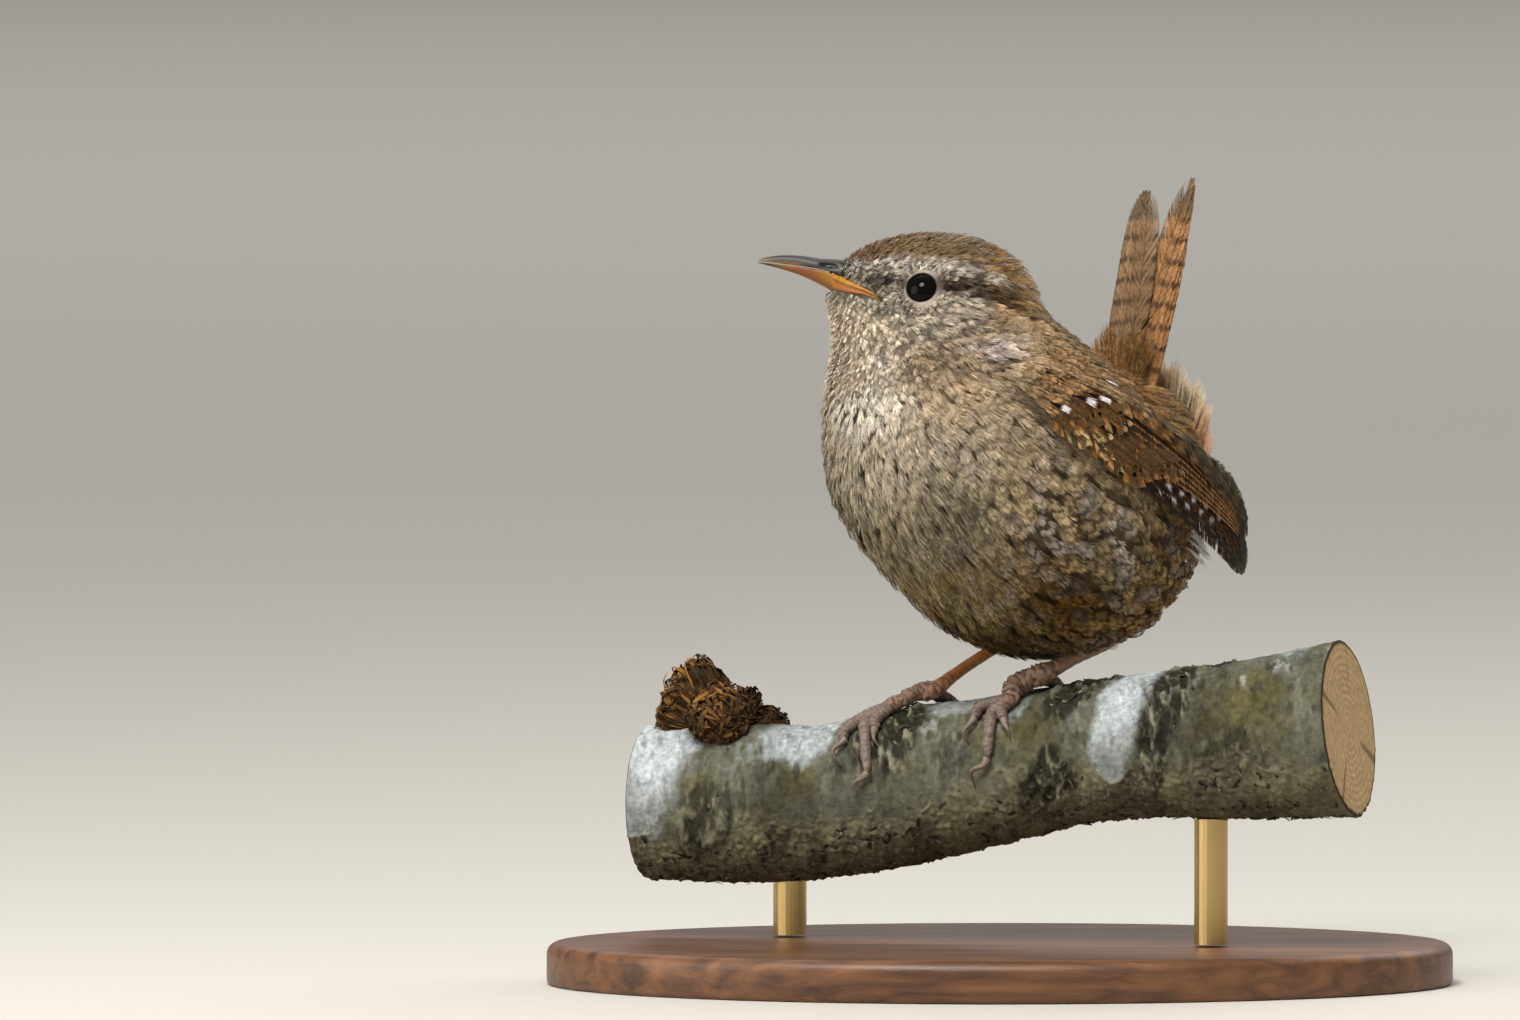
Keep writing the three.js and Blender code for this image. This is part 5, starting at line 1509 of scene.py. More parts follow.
def upper_bill_tint(forward, arch, over_edge, dent):
    """Dark horn with a painted highlight along the ridge, a warm cutting edge and a nostril in painted
    shade.
    """
    c = BILL_COLOURS
    light = 0.1 + 0.65 * smooth(0.55, 0.95, arch)
    tint = mix(c["side"], c["ridge"], light * smooth(20, 14, forward) * smooth(12.4, 14.5, forward))
    tint = mix(tint, c["cutting edge"], 0.7 * smooth(0.5, 0.1, over_edge) * smooth(15, 17, forward))
    return mix(tint, c["nostril"], dent)


def lower_bill_tint(forward, arch):
    """Yellow brown horn, darker at the tip and along the keel."""
    c = BILL_COLOURS
    tint = mix(c["lower"], c["lower middle"], smooth(12.5, 15, forward) * smooth(18.5, 16.5, forward))
    tint = mix(tint, c["lower tip"], smooth(17.6, 20.2, forward))
    tint = mix(tint, c["lower root"], 0.6 * smooth(11.6, 9.5, forward))
    low = smooth(0.5, 1.0, arch)
    tint = mix(tint, c["lower side"], (1 - low) * smooth(15.0, 13.0, forward))
    return mix(tint, c["keel"], 0.5 * low)


def mandible(upper, finish):
    """The upper or the lower half of the bill."""
    section = bill_section()
    stations = curve(BILL_STATIONS, BILL_ROWS)
    edge = stations[:, 2] + (1 if upper else -1) * MOUTH_GAP / 2
    top = stations[:, 1] if upper else stations[:, 3]
    across = stations[:, 4:5] * section[:, 0]
    height = edge[:, None] + (top - edge)[:, None] * section[:, 1]
    forward = np.broadcast_to(stations[:, :1], height.shape).copy()
    arch = np.broadcast_to(section[:, 1], height.shape)
    if upper:
        dent = nostril_dent(forward, across, height)
        across = across * (1 - 0.32 * dent)
        tint = upper_bill_tint(forward, arch, height - edge[:, None], dent)
    else:
        forward[0] = LOWER_BILL_TIP
        tint = lower_bill_tint(forward, arch)
    streak = noise(np.stack([forward * 0.2, across, height], axis=-1), 0.22, 81)
    tint = tint * (1 + 0.12 * streak)[..., None]
    name = "bill_upper" if upper else "bill_lower"
    rings = on_head(np.stack([forward, across, height], axis=-1))
    return shell(f"{name}_horn", rings, tint, finish, name, name)


def side_reach(forward, up, level):
    """How far to the side the form's level lies at places of the head."""
    near, far = np.zeros(forward.shape), np.full(forward.shape, 9.0)
    for _ in range(14):
        middle = (near + far) / 2
        inside = depth(on_head(np.stack([forward, middle, up], axis=-1))) < level
        near, far = np.where(inside, middle, near), np.where(inside, far, middle)
    return (near + far) / 2


def gape(finish):
    """The soft yellow lips from the bill to the mouth's corner, on both sides of the face."""
    rows = 48
    forward = np.linspace(GAPE[-1, 0] + 0.1, GAPE[0, 0] - 0.3, rows)[:, None]
    t = np.concatenate([np.linspace(0, 1, 15), np.linspace(1, 0, 5)[1:-1]])[None]
    behind = np.concatenate([np.zeros(15), np.ones(3)])[None]
    upper = read_table(GAPE, forward, 1) + 0.04
    lower = read_table(GAPE, forward, 2) - 0.04
    up = upper + (lower - upper) * t
    groove = smooth(0.14, 0.0, np.abs(t - 0.48))
    edge = smooth(0.12, 0.0, np.minimum(t, 1 - t)) * (1 - behind)
    corner = smooth(7.6, 6.7, forward)
    level = -0.08 - 0.2 * groove - 0.4 * edge - 1.1 * behind - 0.5 * corner
    forward, up, level = np.broadcast_arrays(forward, up, level)
    reach = side_reach(forward, up, level)
    bill_wide = read_table(BILL_STATIONS[::-1], forward, 4)
    reach = np.maximum(reach, (bill_wide + 0.1 + level) * smooth(11.6, 12.2, forward))
    base = mix(GAPE_COLOURS["upper"], GAPE_COLOURS["lower"], smooth(0.3, 0.7, t))
    # Painted shade: darker into the mouth's corner, along the mouth line and at the band's sunk edges.
    base = mix(base, GAPE_COLOURS["corner"], smooth(8.6, 7.2, forward))
    base = mix(base, GAPE_COLOURS["groove"], 0.75 * groove + 0.3 * edge)
    for side, name in ((1, "left"), (-1, "right")):
        rings = on_head(np.stack([forward, side * reach, up], axis=-1))
        tint = base * (1 + 0.2 * noise(rings, 0.35, 83) + 0.1 * noise(rings, 0.9, 84))[..., None]
        shell(f"gape_{name}", rings, tint, finish, "bill_lower")


# Across a lid from the eye outwards: distance from the eye's axis, height over the eye's centre
LID = np.array([
    (1.68, 1.44), (1.72, 1.56), (1.78, 1.64), (1.86, 1.68), (1.96, 1.67),
    (2.1, 1.62), (2.3, 1.53), (2.6, 1.36), (2.9, 1.1),
])
LID_RIM, LID_PALE = rgb(20, 15, 12), rgb(168, 157, 139)


def lids(finish):
    """The eyelids: a dark, finely beaded rim, and round it a fold of skin, palest under the eye."""
    for centre, axis, name in zip(EYE_CENTRES, EYE_AXES, ("left", "right")):
        turn = full_turn(144)[:, None]
        u = unit(np.cross(axis, [0, 0, 1.0]))
        v = np.cross(axis, u)
        way = u * np.cos(turn) + v * np.sin(turn)
        reach, lift = LID[None, :, :1], LID[None, :, 1:]
        beads = (0.02 * np.sin(41 * turn) + 0.015 * np.sin(67 * turn))[:, None]
        rings = centre + way[:, None] * reach + axis * (lift + beads * smooth(2.2, 1.8, reach))
        forward, _, up = np.moveaxis(head_places(rings) - head_places(centre), -1, 0)
        pale = smooth(-0.3, -1.4, up) * smooth(1.6, 0.4, forward)
        tint = mix(0.66 * markings(rings), LID_PALE, 0.7 * pale)
        tint = mix(tint, LID_RIM, smooth(1.96, 1.86, reach[..., 0]))
        tint = tint * (1 + 0.3 * noise(rings, 0.22, 91))[..., None]
        shell(f"lid_{name}", rings.transpose(1, 0, 2), tint.transpose(1, 0, 2), finish, "plumage_head")


# Branch and what grips it

PERCH_YAW = math.radians(18)
PERCH_Y = 0.6
PERCH_STATIONS = np.array([
    (-41.7, 20.8, 9.3), (-28.0, 21.0, 9.5), (-20.2, 21.5, 9.2), (-11.9, 23.2, 9.4), (0, 25.6, 8.7),
    (9.5, 27.7, 8.4), (17.9, 28.8, 8.6), (29.8, 29.8, 9.5), (41.1, 31.3, 10.5),
])


def along_stations(x):
    """Height and radius of the branch at x, as one smooth curve through its stations."""
    table = PERCH_STATIONS
    slopes = np.gradient(table[:, 1:], table[:, 0], axis=0)
    slopes[1:-1] = (table[2:, 1:] - table[:-2, 1:]) / (table[2:, :1] - table[:-2, :1])
    k = np.clip(np.searchsorted(table[:, 0], x) - 1, 0, len(table) - 2)
    span = table[k + 1, 0] - table[k, 0]
    t = ((x - table[k, 0]) / span)[..., None]
    span = span[..., None]
    a, b = table[k, 1:], table[k + 1, 1:]
    leave, arrive = slopes[k] * span, slopes[k + 1] * span
    inside = a + t * (leave + t * ((3 * (b - a) - 2 * leave - arrive) + t * (leave + arrive - 2 * (b - a))))
    return np.where((t < 0) | (t > 1), a + t * (b - a), inside)


def perch_line(x):
    """The branch's middle line at x, and its radius there."""
    height, radius = np.moveaxis(along_stations(x), -1, 0)
    return np.stack([x, PERCH_Y - math.tan(PERCH_YAW) * x, height], axis=-1), radius


def beside_perch(x, angle, lift):
    """Points beside the branch: x, angle in degrees from its top towards the viewer, lift off it."""
    x, angle, lift = np.moveaxis(stacked(x, angle, lift).astype(float), -1, 0)
    centre, radius = perch_line(x)
    axis = unit(perch_line(x + 0.5)[0] - perch_line(x - 0.5)[0])
    up = unit(np.array([0, 0, 1.0]) - axis * axis[..., 2:])
    front = -np.cross(up, axis)
    turn = np.radians(angle)
    reach = (radius + lift)[..., None]
    return centre + reach * (up * np.cos(turn)[..., None] + front * np.sin(turn)[..., None])


# Legs down to the branch, as places on the body. Feet as places beside the branch: the middle of the
# foot, four toes, and their claws, each claw from the last place of its toe.
LEFT_LEG = [(-17, 5.2, -14), (-10.8, 6, -17.8), (-5, 6, -19.9), (-0.5, 6, -21.5)]
RIGHT_LEG = [(-9, -5.4, -14.5), (-2.9, -6, -18.8), (2, -6.4, -21.4), (6.2, -6.7, -23.7)]
LEFT_FOOT = {
    "hub": [(4.9, 20, 1.5), (4.4, 33, 1.1), (3.2, 40, 0.95)],
    "toes": [
        [(4.2, 33, 0.9), (0.9, 35, 0.8), (0.2, 46, 0.7)],
        [(4.0, 36, 0.9), (2.5, 44, 0.8), (2.1, 60, 0.8), (1.6, 80, 0.75)],
        [(4.2, 35, 0.9), (3.5, 42, 0.8), (3.8, 52, 0.7)],
        [(5.6, 14, 1.4), (7.0, -8, 0.9), (7.4, -32, 0.8), (7.2, -56, 0.75)],
    ],
    "claws": [
        [(-0.2, 51, 0.8), (-0.9, 58, 0.95), (-0.4, 66, 0.3)],
        [(1.0, 85, 0.9), (-0.4, 88, 1.2), (-0.5, 102, 0.3)],
        [(4.0, 57, 0.75), (4.3, 62, 0.8), (4.4, 69, 0.3)],
        [(7.2, -62, 0.85), (6.9, -76, 1.1), (6.4, -88, 0.3)],
    ],
}
RIGHT_FOOT = {
    "hub": [(-7.4, 6, 1.6), (-9.4, 14, 1.1), (-11.6, 25, 0.95)],
    "toes": [
        [(-10.6, 20, 0.9), (-13.3, 30, 0.8), (-15.0, 40, 0.8), (-14.8, 47, 0.7)],
        [(-10.8, 22, 0.9), (-12.5, 32, 0.8), (-12.4, 52, 0.8), (-12.3, 76, 0.75)],
        [(-10.4, 22, 0.9), (-11.5, 33, 0.8), (-11.5, 43, 0.7)],
        [(-6.6, 0, 1.4), (-5.6, -18, 0.9), (-5.4, -40, 0.8), (-5.6, -62, 0.75)],
    ],
    "claws": [
        [(-15.2, 50, 0.8), (-16.1, 57, 1.1), (-15.2, 68, 0.3)],
        [(-12.9, 79, 0.9), (-13.9, 83, 1.2), (-12.6, 93, 0.3)],
        [(-11.5, 47, 0.75), (-11.4, 52, 0.8), (-11.0, 58, 0.3)],
        [(-5.6, -68, 0.85), (-5.9, -82, 1.1), (-6.4, -94, 0.3)],
    ],
}
GRIP_SPOTS = [
    spot for foot in (LEFT_FOOT, RIGHT_FOOT) for path in foot["toes"] + foot["claws"] for spot in path
]
# The two leg colours are painted light: both legs are one colour, and the far right leg is painted more
# orange than the near left one. The crease colour is partly the darker joints between scutes and partly
# painted shade.
LEG_COLOURS = {
    "left": rgb(162, 127, 94), "right": rgb(178, 116, 64),
    "ankle": rgb(124, 98, 80), "foot": rgb(108, 94, 84), "crease": rgb(62, 46, 34),
}


def gap_to_grip(points):
    """How far points are from the nearest toe or claw."""
    gaps = [np.linalg.norm(points - beside_perch(*spot), axis=-1) for spot in GRIP_SPOTS]
    return np.min(gaps, axis=0)


def scaled_limb(path, radii, sides, base, seed, scute, folds):
    """A limb with overlapping scutes: rings stepped along it and a network of fine creases."""
    rings = tube(path, radii, sides)
    travel = np.concatenate([[0], np.cumsum(np.linalg.norm(np.diff(path, axis=0), axis=1))])
    lean = 0.25 * np.sin(2 * full_turn(sides) + 0.7 * seed)
    wave = travel[:, None] / scute + lean + 0.75 * noise(rings, 0.9, seed)
    step = wave - np.floor(wave)
    crease = smooth(0.22, 0.0, step) + smooth(0.9, 1.0, step)
    folds = np.broadcast_to(folds, radii.shape)[:, None]
    lumps = 0.09 * noise(rings, 0.5, seed + 4) + 0.05 * noise(rings, 0.25, seed + 5)
    relief = folds * (0.07 * (step - 0.5) - 0.06 * crease + lumps)
    rings = path[:, None] + (rings - path[:, None]) * (1 + relief)[..., None]
    mottle = 1 + 0.2 * noise(rings, 0.7, seed + 1) + 0.14 * noise(rings, 0.25, seed + 2)
    # The creases are painted dark: partly the darker joints between scutes, partly painted shade in the
    # creases.
    tint = mix(base * mottle[..., None], LEG_COLOURS["crease"], np.clip(0.6 * crease * folds, 0, 0.85))
    return rings, tint


# Radii of a leg from under the coat, by the tarsus and the wrinkled ankle, to the middle of the foot
LEG_SHARES = (0, 0.12, 0.36, 0.44, 0.52, 0.66, 0.8, 1)
LEG_RADII = {
    "left": (1.1, 0.8, 0.78, 0.95, 1.32, 1.3, 1.0, 0.75),
    "right": (1.0, 0.72, 0.7, 0.85, 1.12, 1.05, 0.9, 0.7),
}
LEG_ROWS, LEG_SIDES, LEG_SCUTE = 170, 22, 0.8
TOE_ROWS, TOE_SIDES, TOE_SCUTE = 60, 18, 0.55
CLAW_ROWS, CLAW_SIDES = 36, 12
CLAW_ROOT, CLAW_TIP = rgb(122, 108, 92), rgb(66, 55, 44)


def round_end(share, power, least):
    """A factor for radii that closes the end of a limb to a dome."""
    return np.sqrt(np.clip(1.02 - share**power, least, 1))


def legs(skin_finish, claw_finish):
    """Legs from under the coat to the branch, with four scaled toes and claws on each foot."""
    for name, leg, foot in (("left", LEFT_LEG, LEFT_FOOT), ("right", RIGHT_LEG, RIGHT_FOOT)):
        spots = np.vstack([on_body(leg), [beside_perch(*spot) for spot in foot["hub"]]])
        share = np.linspace(0, 1, LEG_ROWS)
        radii = np.interp(share, LEG_SHARES, LEG_RADII[name]) * round_end(share, 24, 0.02)
        fleshy = smooth(0.34, 0.6, share)
        base = mix(LEG_COLOURS[name], LEG_COLOURS["ankle"], fleshy[:, None])
        path = curve(spots, LEG_ROWS)
        rings, tint = scaled_limb(path, radii, LEG_SIDES, base, 101, LEG_SCUTE, 0.6 + 2.0 * fleshy)
        shell(f"leg_{name}_scaled", rings, tint, skin_finish, "leg_skin", f"leg_{name}", f"foot_{name}")
        for k, (toe, claw) in enumerate(zip(foot["toes"], foot["claws"])):
            share = np.linspace(0, 1, TOE_ROWS)
            pads = 1 + 0.12 * np.sin(share * 3 * math.pi) ** 2
            radii = (0.76 - 0.15 * share) * pads * round_end(share, 14, 0.03)
            path = curve([beside_perch(*spot) for spot in toe], TOE_ROWS)
            rings, tint = scaled_limb(path, radii, TOE_SIDES, LEG_COLOURS["foot"], 111 + k, TOE_SCUTE, 1.3)
            shell(f"toe_{name}_{k + 1}", rings, tint, skin_finish, "leg_skin")
            share = np.linspace(0, 1, CLAW_ROWS)
            path = curve([beside_perch(*spot) for spot in (toe[-1], *claw)], CLAW_ROWS)
            rings = tube(path, 0.46 * (1 - share) ** 0.75 + 0.03, CLAW_SIDES)
            horn = mix(CLAW_ROOT, CLAW_TIP, share[:, None])
            horn = horn * (1 + 0.1 * noise(rings, 0.5, 121))[..., None]
            claw_name = f"claw_{name}_{k + 1}"
            shell(f"{claw_name}_horn", rings, horn, claw_finish, "claw", claw_name)


BARK = {
    "white": rgb(162, 169, 171), "grey": rgb(86, 86, 73), "dark": rgb(36, 34, 26), "green": rgb(78, 74, 49),
    "under": rgb(103, 99, 76), "lichen": rgb(58, 58, 44), "wood": rgb(84, 60, 34), "rot": rgb(56, 42, 26),
    "shred": rgb(140, 98, 52), "flake": rgb(134, 130, 106),
}
# Patches of the bark: x, angle from the top towards the viewer, half length, half angle, strength
CRUSTS = [
    (-10.2, 42, 4.2, 42, 1.0), (7.8, 106, 3.2, 24, 0.9), (10.4, 26, 2.6, 34, 0.9), (22.0, 52, 2.7, 68, 1.0),
    (27, 2, 1.3, 12, 0.9), (-32, 100, 3.5, 26, 0.6), (-3, 70, 2.2, 18, 0.5), (30, 96, 4, 16, 0.5),
    (-25, -60, 4, 40, 0.8), (0, -95, 3.5, 50, 0.9), (14, -50, 3, 60, 0.8), (31, -100, 4, 40, 0.7),
]
# White patches of the bark, in the same columns. The one at x -21.5, on top of the branch, is a painted
# highlight.
WHITES = [
    (-39.6, 40, 4.6, 100, 1.0), (-21.5, 26, 6.0, 30, 0.8), (17.0, 46, 2.9, 72, 1.0),
    (-2.5, 14, 3.6, 20, 0.6), (4.5, 30, 1.6, 26, 0.5), (-12, -60, 5, 60, 0.8),
    (22, -60, 5, 60, 0.7), (38, -40, 3, 60, 0.5),
]
BARK_SLANT = 0.03


def patches_of(table, x, angle, ragged):
    """How strongly places on the bark lie in the patches of a table, with ragged edges."""
    found = np.zeros(x.shape)
    for middle, turn, half, spread, strength in table:
        away = np.hypot((x + BARK_SLANT * (angle - turn) - middle) / half, (angle - turn) / spread)
        found = np.maximum(found, strength * smooth(1.25, 0.8, away + ragged))
    return found


PEEL_ANGLE = 116


def bark_surface(points, x, angle):
    """Birch bark at places on the smooth branch: colour with painted light, roughness, and its height off
    the form.
    """
    away = np.abs(angle)

    def drawn_out(share):
        """The points, with steps round the branch shortened, so that patterns run round it."""
        return points * np.array([1, share, share])

    round_it = drawn_out(0.42)
    ragged = 0.45 * fractal(points, 2.6, 4, 133)
    streaks = fractal(round_it, 1.3, 4, 135)
    fine = fractal(round_it, 0.45, 3, 136)
    crust = patches_of(CRUSTS, x, angle, ragged + 0.2 * streaks)
    white = patches_of(WHITES, x, angle, 0.7 * ragged + 0.35 * streaks)
    past_peel = away + 46 * ragged + 26 * fractal(points, 9, 2, 153) - PEEL_ANGLE
    below = smooth(-16, 10, past_peel)
    peel = smooth(5, 1, np.abs(past_peel + 3)) * smooth(-0.1, 0.3, fractal(points, 2.4, 3, 152))
    curls = 0.5 + 1.5 * (fractal(drawn_out(0.4), 0.62, 3, 147) + 0.5 * fractal(drawn_out(0.6), 1.5, 3, 148))
    crumbs = np.abs(fractal(points, 1.0, 4, 145))
    specks = smooth(0.26, 0.42, fractal(round_it, 0.9, 3, 139))
    stains = smooth(0.1, 0.35, fractal(drawn_out(0.6), 4.5, 3, 151)) * smooth(30, 70, away)
    bands = fractal(drawn_out(0.16), 2.0, 3, 154)

    colour = mix(BARK["grey"], BARK["green"], smooth(-0.25, 0.45, fractal(points, 6, 3, 137)))
    for layer, strength in (
        (BARK["white"], 0.9 * white),
        # Painted highlight: pale streaks only along the top of the branch.
        (BARK["white"], 0.3 * smooth(0.15, 0.5, streaks) * smooth(85, 30, away)),
        (BARK["lichen"], 0.8 * specks * (1 - 0.6 * white)),
        # Painted shade: a darker grey down the sides of the branch.
        (0.8 * BARK["grey"], 0.5 * smooth(60, 100, away)),
        (BARK["under"], 0.9 * below),
        (BARK["dark"], 0.45 * stains * (1 - white)),
        (BARK["flake"], 0.22 * peel),
        (BARK["dark"], crust * (0.55 + 0.42 * smooth(0.7, 0.35, curls))),
        (BARK["flake"], crust * 0.6 * smooth(0.75, 1.1, curls)),
    ):
        colour = mix(colour, layer, strength)
    light = 1 + 0.42 * fine + 0.3 * streaks + 0.4 * bands * (1 - 0.6 * white)
    # Painted shade: the underside of the branch darker.
    colour = colour * (light * (1 - 0.3 * smooth(115, 150, away)))[..., None]

    plates = fractal(round_it, 1.4, 4, 141)
    ridges = (1 - 3 * np.abs(fractal(round_it, 0.9, 3, 142))).clip(0)
    height = 0.22 * fractal(points, 6, 2, 143) + 0.12 * plates + 0.06 * ridges - 0.05 * specks
    height = height + crust * (0.5 * curls.clip(0) - 0.15) + 0.25 * peel + below * (0.6 * crumbs - 0.1)
    return colour, np.maximum(crust, 0.75 * below), height


BARK_ROWS = 620
BARK_COLUMNS = 300
BARK_HIGHEST = 0.6
MEAN_RADIUS = 9
FLAKES = 1100
FLAKE_TRIES = 16000
FLAKE_GRIP_GAP = 1.7


def perch(finish, wood_finish):
    """The cut branch: bark, sawn ends, loose flakes and the broken stub."""
    x = np.linspace(PERCH_STATIONS[0, 0], PERCH_STATIONS[-1, 0], BARK_ROWS)[:, None]
    angle = np.linspace(-180, 180, BARK_COLUMNS, endpoint=False)[None]
    x, angle = np.broadcast_arrays(x, angle)
    smooth_points = beside_perch(x, angle, 0)
    tint, _, height = bark_surface(smooth_points, x, angle)
    grip = smooth(1.0, 2.2, gap_to_grip(smooth_points))
    height = np.minimum(height - 0.05, BARK_HIGHEST)
    points = beside_perch(x, angle, height * (0.3 + 0.7 * grip))
    shell("branch_bark", points, tint, finish, "bark", "perch")
    for end, name in ((0, "left"), (-1, "right")):
        cut_end(points[end], name, wood_finish)
    flakes(finish)
    stub(wood_finish)


def ribbons(name, centre, side, widths, tints, finish):
    """Loose strips of bark or wood, as one piece."""
    pile = Pile()
    pile.add(centre, side, widths, tints, np.zeros(centre.shape), np.zeros((*widths.shape, 2)))
    pile.pieces(name, finish, "bark", baked=False)


def flakes(finish):
    """Thin curled scales of bark and lichen on the crusted patches and along the underside."""
    own = np.random.default_rng(29)
    x, angle = own.uniform(-41, 40.5, FLAKE_TRIES), own.uniform(-180, 180, FLAKE_TRIES)
    foot = beside_perch(x, angle, 0)
    _, rough, _ = bark_surface(foot, x, angle)
    rough_enough = rough > own.uniform(0.35, 1.1, FLAKE_TRIES)
    chosen = np.flatnonzero(rough_enough & (gap_to_grip(foot) >= FLAKE_GRIP_GAP))[:FLAKES]
    x, angle = x[chosen], angle[chosen]
    count, q = len(x), np.linspace(0, 1, 5)
    length, turn = own.uniform(0.5, 1.7, count), own.uniform(0, 2 * math.pi, count)
    rise = own.uniform(0.12, 0.42, count)
    curl = own.uniform(-0.4, 0.5, count)
    reach = length[:, None] * q
    x = x[:, None] + np.cos(turn)[:, None] * reach
    angle = angle[:, None] + np.degrees(np.sin(turn)[:, None] * reach / MEAN_RADIUS)
    lift = -0.08 + rise[:, None] * q**1.6 - (curl * rise)[:, None] * q**4
    centre = beside_perch(x, angle, lift)
    above = unit(beside_perch(x, angle, lift + 1) - centre)
    side = np.cross(unit(np.gradient(centre, axis=1)), above) + own.normal(0, 0.25, (count, 1, 3))
    widths = own.uniform(0.12, 0.38, (count, 1)) * np.array([0.7, 1, 1, 0.8, 0.3])
    pale = own.uniform(0, 1, (count, 1)) ** 2 * smooth(0.3, 1, q)
    tints = mix(BARK["dark"] * 1.3, BARK["flake"], pale)
    ribbons("branch_flakes", centre, unit(side), widths, tints, finish)


WOOD_LIGHT, WOOD_DARK = rgb(186, 160, 120), rgb(150, 118, 80)


def cut_end(rim, name, finish):
    """A sawn end: the rim of bark, then rings of wood to the pith, with a few fine radial cracks."""
    centre = rim.mean(axis=0)
    share = np.concatenate([[1.0, 0.985], np.linspace(0.97, 0.0, 40)])
    outward_way = unit(centre - perch_line(np.array(0.0))[0])
    rings = centre + (rim - centre)[None] * share[:, None, None]
    rings = rings + outward_way * np.where(share < 0.99, 0.12, 0)[:, None, None]
    radius = np.linalg.norm(rings - centre, axis=-1)
    year = 0.5 + 0.5 * np.sin(radius * 7.5 + 1.2 * noise(rings, 3, 151))
    tint = mix(WOOD_LIGHT, WOOD_DARK, 0.65 * year)
    spoke = np.arange(len(rim)) / len(rim)
    cracks = smooth(0.62, 0.8, noise(stacked(spoke * 40, 0, 0), 1.0, 157))
    tint = mix(tint, BARK["rot"], 0.6 * cracks[None] * smooth(0.3, 0.6, share)[:, None])
    tint = mix(tint, BARK["rot"], smooth(0.93, 0.985, share)[:, None])
    tint = tint * (1 + 0.1 * noise(rings, 0.5, 153))[..., None]
    shell(f"branch_end_{name}", rings, tint, finish, "bark")


# Lumps of the broken stub: x, off the branch's axis towards the viewer, z, radius
STUB_CORE = np.array([-32.4, 0.0, 29.0])
STUB_LUMPS = np.array([
    (-38.4, 1.0, 31.2, 2.4), (-36.9, 0.5, 34.4, 2.3), (-34.6, 0.0, 34.6, 2.5), (-35.4, -1.5, 36.6, 1.5),
    (-31.4, 0.8, 31.6, 3.1), (-27.6, 0.4, 29.9, 2.4), (-34.5, 3.4, 30.6, 3.4), (-33.5, -3.8, 31.0, 3.4),
    (-30.0, 3.2, 29.0, 2.8), (-25.9, 1.4, 28.6, 1.4),
])
STUB_RADIUS = 6.5
SHREDS = 2400


def stub_surface(ways, lift):
    """Points on the stub's lumps in directions from its core."""
    core = STUB_CORE + (0, perch_line(STUB_CORE[0])[0][1], 0)
    centres, radii = STUB_LUMPS[:, :3] - STUB_CORE, STUB_LUMPS[:, 3]
    along = ways @ centres.T
    inside = along**2 - np.sum(centres**2, axis=-1) + radii**2
    exits = np.where(inside > 0, along + np.sqrt(np.maximum(inside, 0)), 0)
    reach = np.sum(np.maximum(exits, 0.3) ** 8, axis=-1) ** (1 / 8)
    points = core + ways * reach[..., None]
    lumps = fractal(points, 2.6, 4, 161)
    return points + ways * (1.3 * lumps - 0.35 + lift)[..., None], lumps


def stub(finish):
    """The broken twig stub: lumps of torn wood, all over small curled shreds that lie along them."""
    ways = ball_ways(np.linspace(math.radians(112), 0, 120)[:, None], full_turn(170))
    points, lumps = stub_surface(ways, 0)
    tint = mix(BARK["rot"], BARK["wood"], smooth(0.0, 0.6, lumps))
    tint = mix(tint, BARK["dark"], smooth(0.0, 0.4, fractal(points, 1.2, 3, 165)))
    shell("branch_stub", points, tint, finish, "bark")

    own = np.random.default_rng(17)
    start = unit(own.normal(0, 1, (SHREDS * 3, 3)))
    start = start[start[:, 2] > -0.25][:SHREDS]
    count = len(start)
    way = unit(np.cross(start, own.normal(0, 1, (count, 3))))
    length = own.uniform(0.7, 2.6, count)
    q = np.linspace(0, 1, 6)
    ways = unit(start[:, None] + way[:, None] * (length[:, None] * q / STUB_RADIUS)[..., None])
    rise = own.uniform(0.1, 1.0, (count, 1)) * np.sin(own.uniform(0.9, 3.2, (count, 1)) * q)
    fibres, _ = stub_surface(ways, own.uniform(-0.2, 0.2, (count, 1)) + rise)
    ahead = unit(np.gradient(fibres, axis=1))
    side = unit(np.cross(ahead, ways) + own.normal(0, 0.45, (count, 1, 3)))
    # Painted light: shreds lighter towards the stub's upper left, where the key light falls, on top of their
    # own random tone.
    left, high = smooth(-28, -37, fibres[:, 0, 0]), smooth(29, 35, fibres[:, 0, 2])
    tone_and_painted_light = np.clip(own.uniform(0, 1, count) ** 1.6 * (0.25 + 0.85 * left) * (0.5 + 0.6 * high), 0, 1)
    tints = mix(BARK["rot"], BARK["shred"], tone_and_painted_light)[:, None] * (0.7 + 0.4 * q)[:, None]
    widths = own.uniform(0.1, 0.36, (count, 1)) * np.array([0.6, 1, 1, 0.9, 0.7, 0.3])
    ribbons("branch_fibres", fibres, side, widths, tints, finish)


# Display stand

STAND_ROUNDING = 1.4


def stand(wood_finish, metal_finish):
    """The oval base with rounded upper edges; the rods keep the shape they have in the frame."""
    low, high = (np.array(corner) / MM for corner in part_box("stand_base"))
    radius_x, radius_y, height = (high - low) / (2, 2, 1)
    corner = np.linspace(0, math.pi / 2, 10)
    soft = STAND_ROUNDING
    rounding = soft * (1 - np.cos(corner))
    inset = np.concatenate([[radius_y, 0.6, 0.15, 0], rounding, [soft + 1.5, radius_y * 0.5, radius_y]])
    level = np.concatenate([[0, 0, 0.15, 0.6], height - soft + soft * np.sin(corner), [height] * 3])
    turn, inset, level = full_turn(200), inset[:, None], level[:, None] + low[2]
    rings = stacked((radius_x - inset) * np.cos(turn), (radius_y - inset) * np.sin(turn), level)
    shell("stand_base_wood", rings, None, wood_finish, "stand_wood", "stand_base")
    for name in ("stand_rod_1", "stand_rod_2"):
        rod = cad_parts[name].data
        rod.materials.clear()
        rod.materials.append(metal_finish)
        rod.polygons.foreach_set("use_smooth", np.ones(len(rod.polygons), bool))


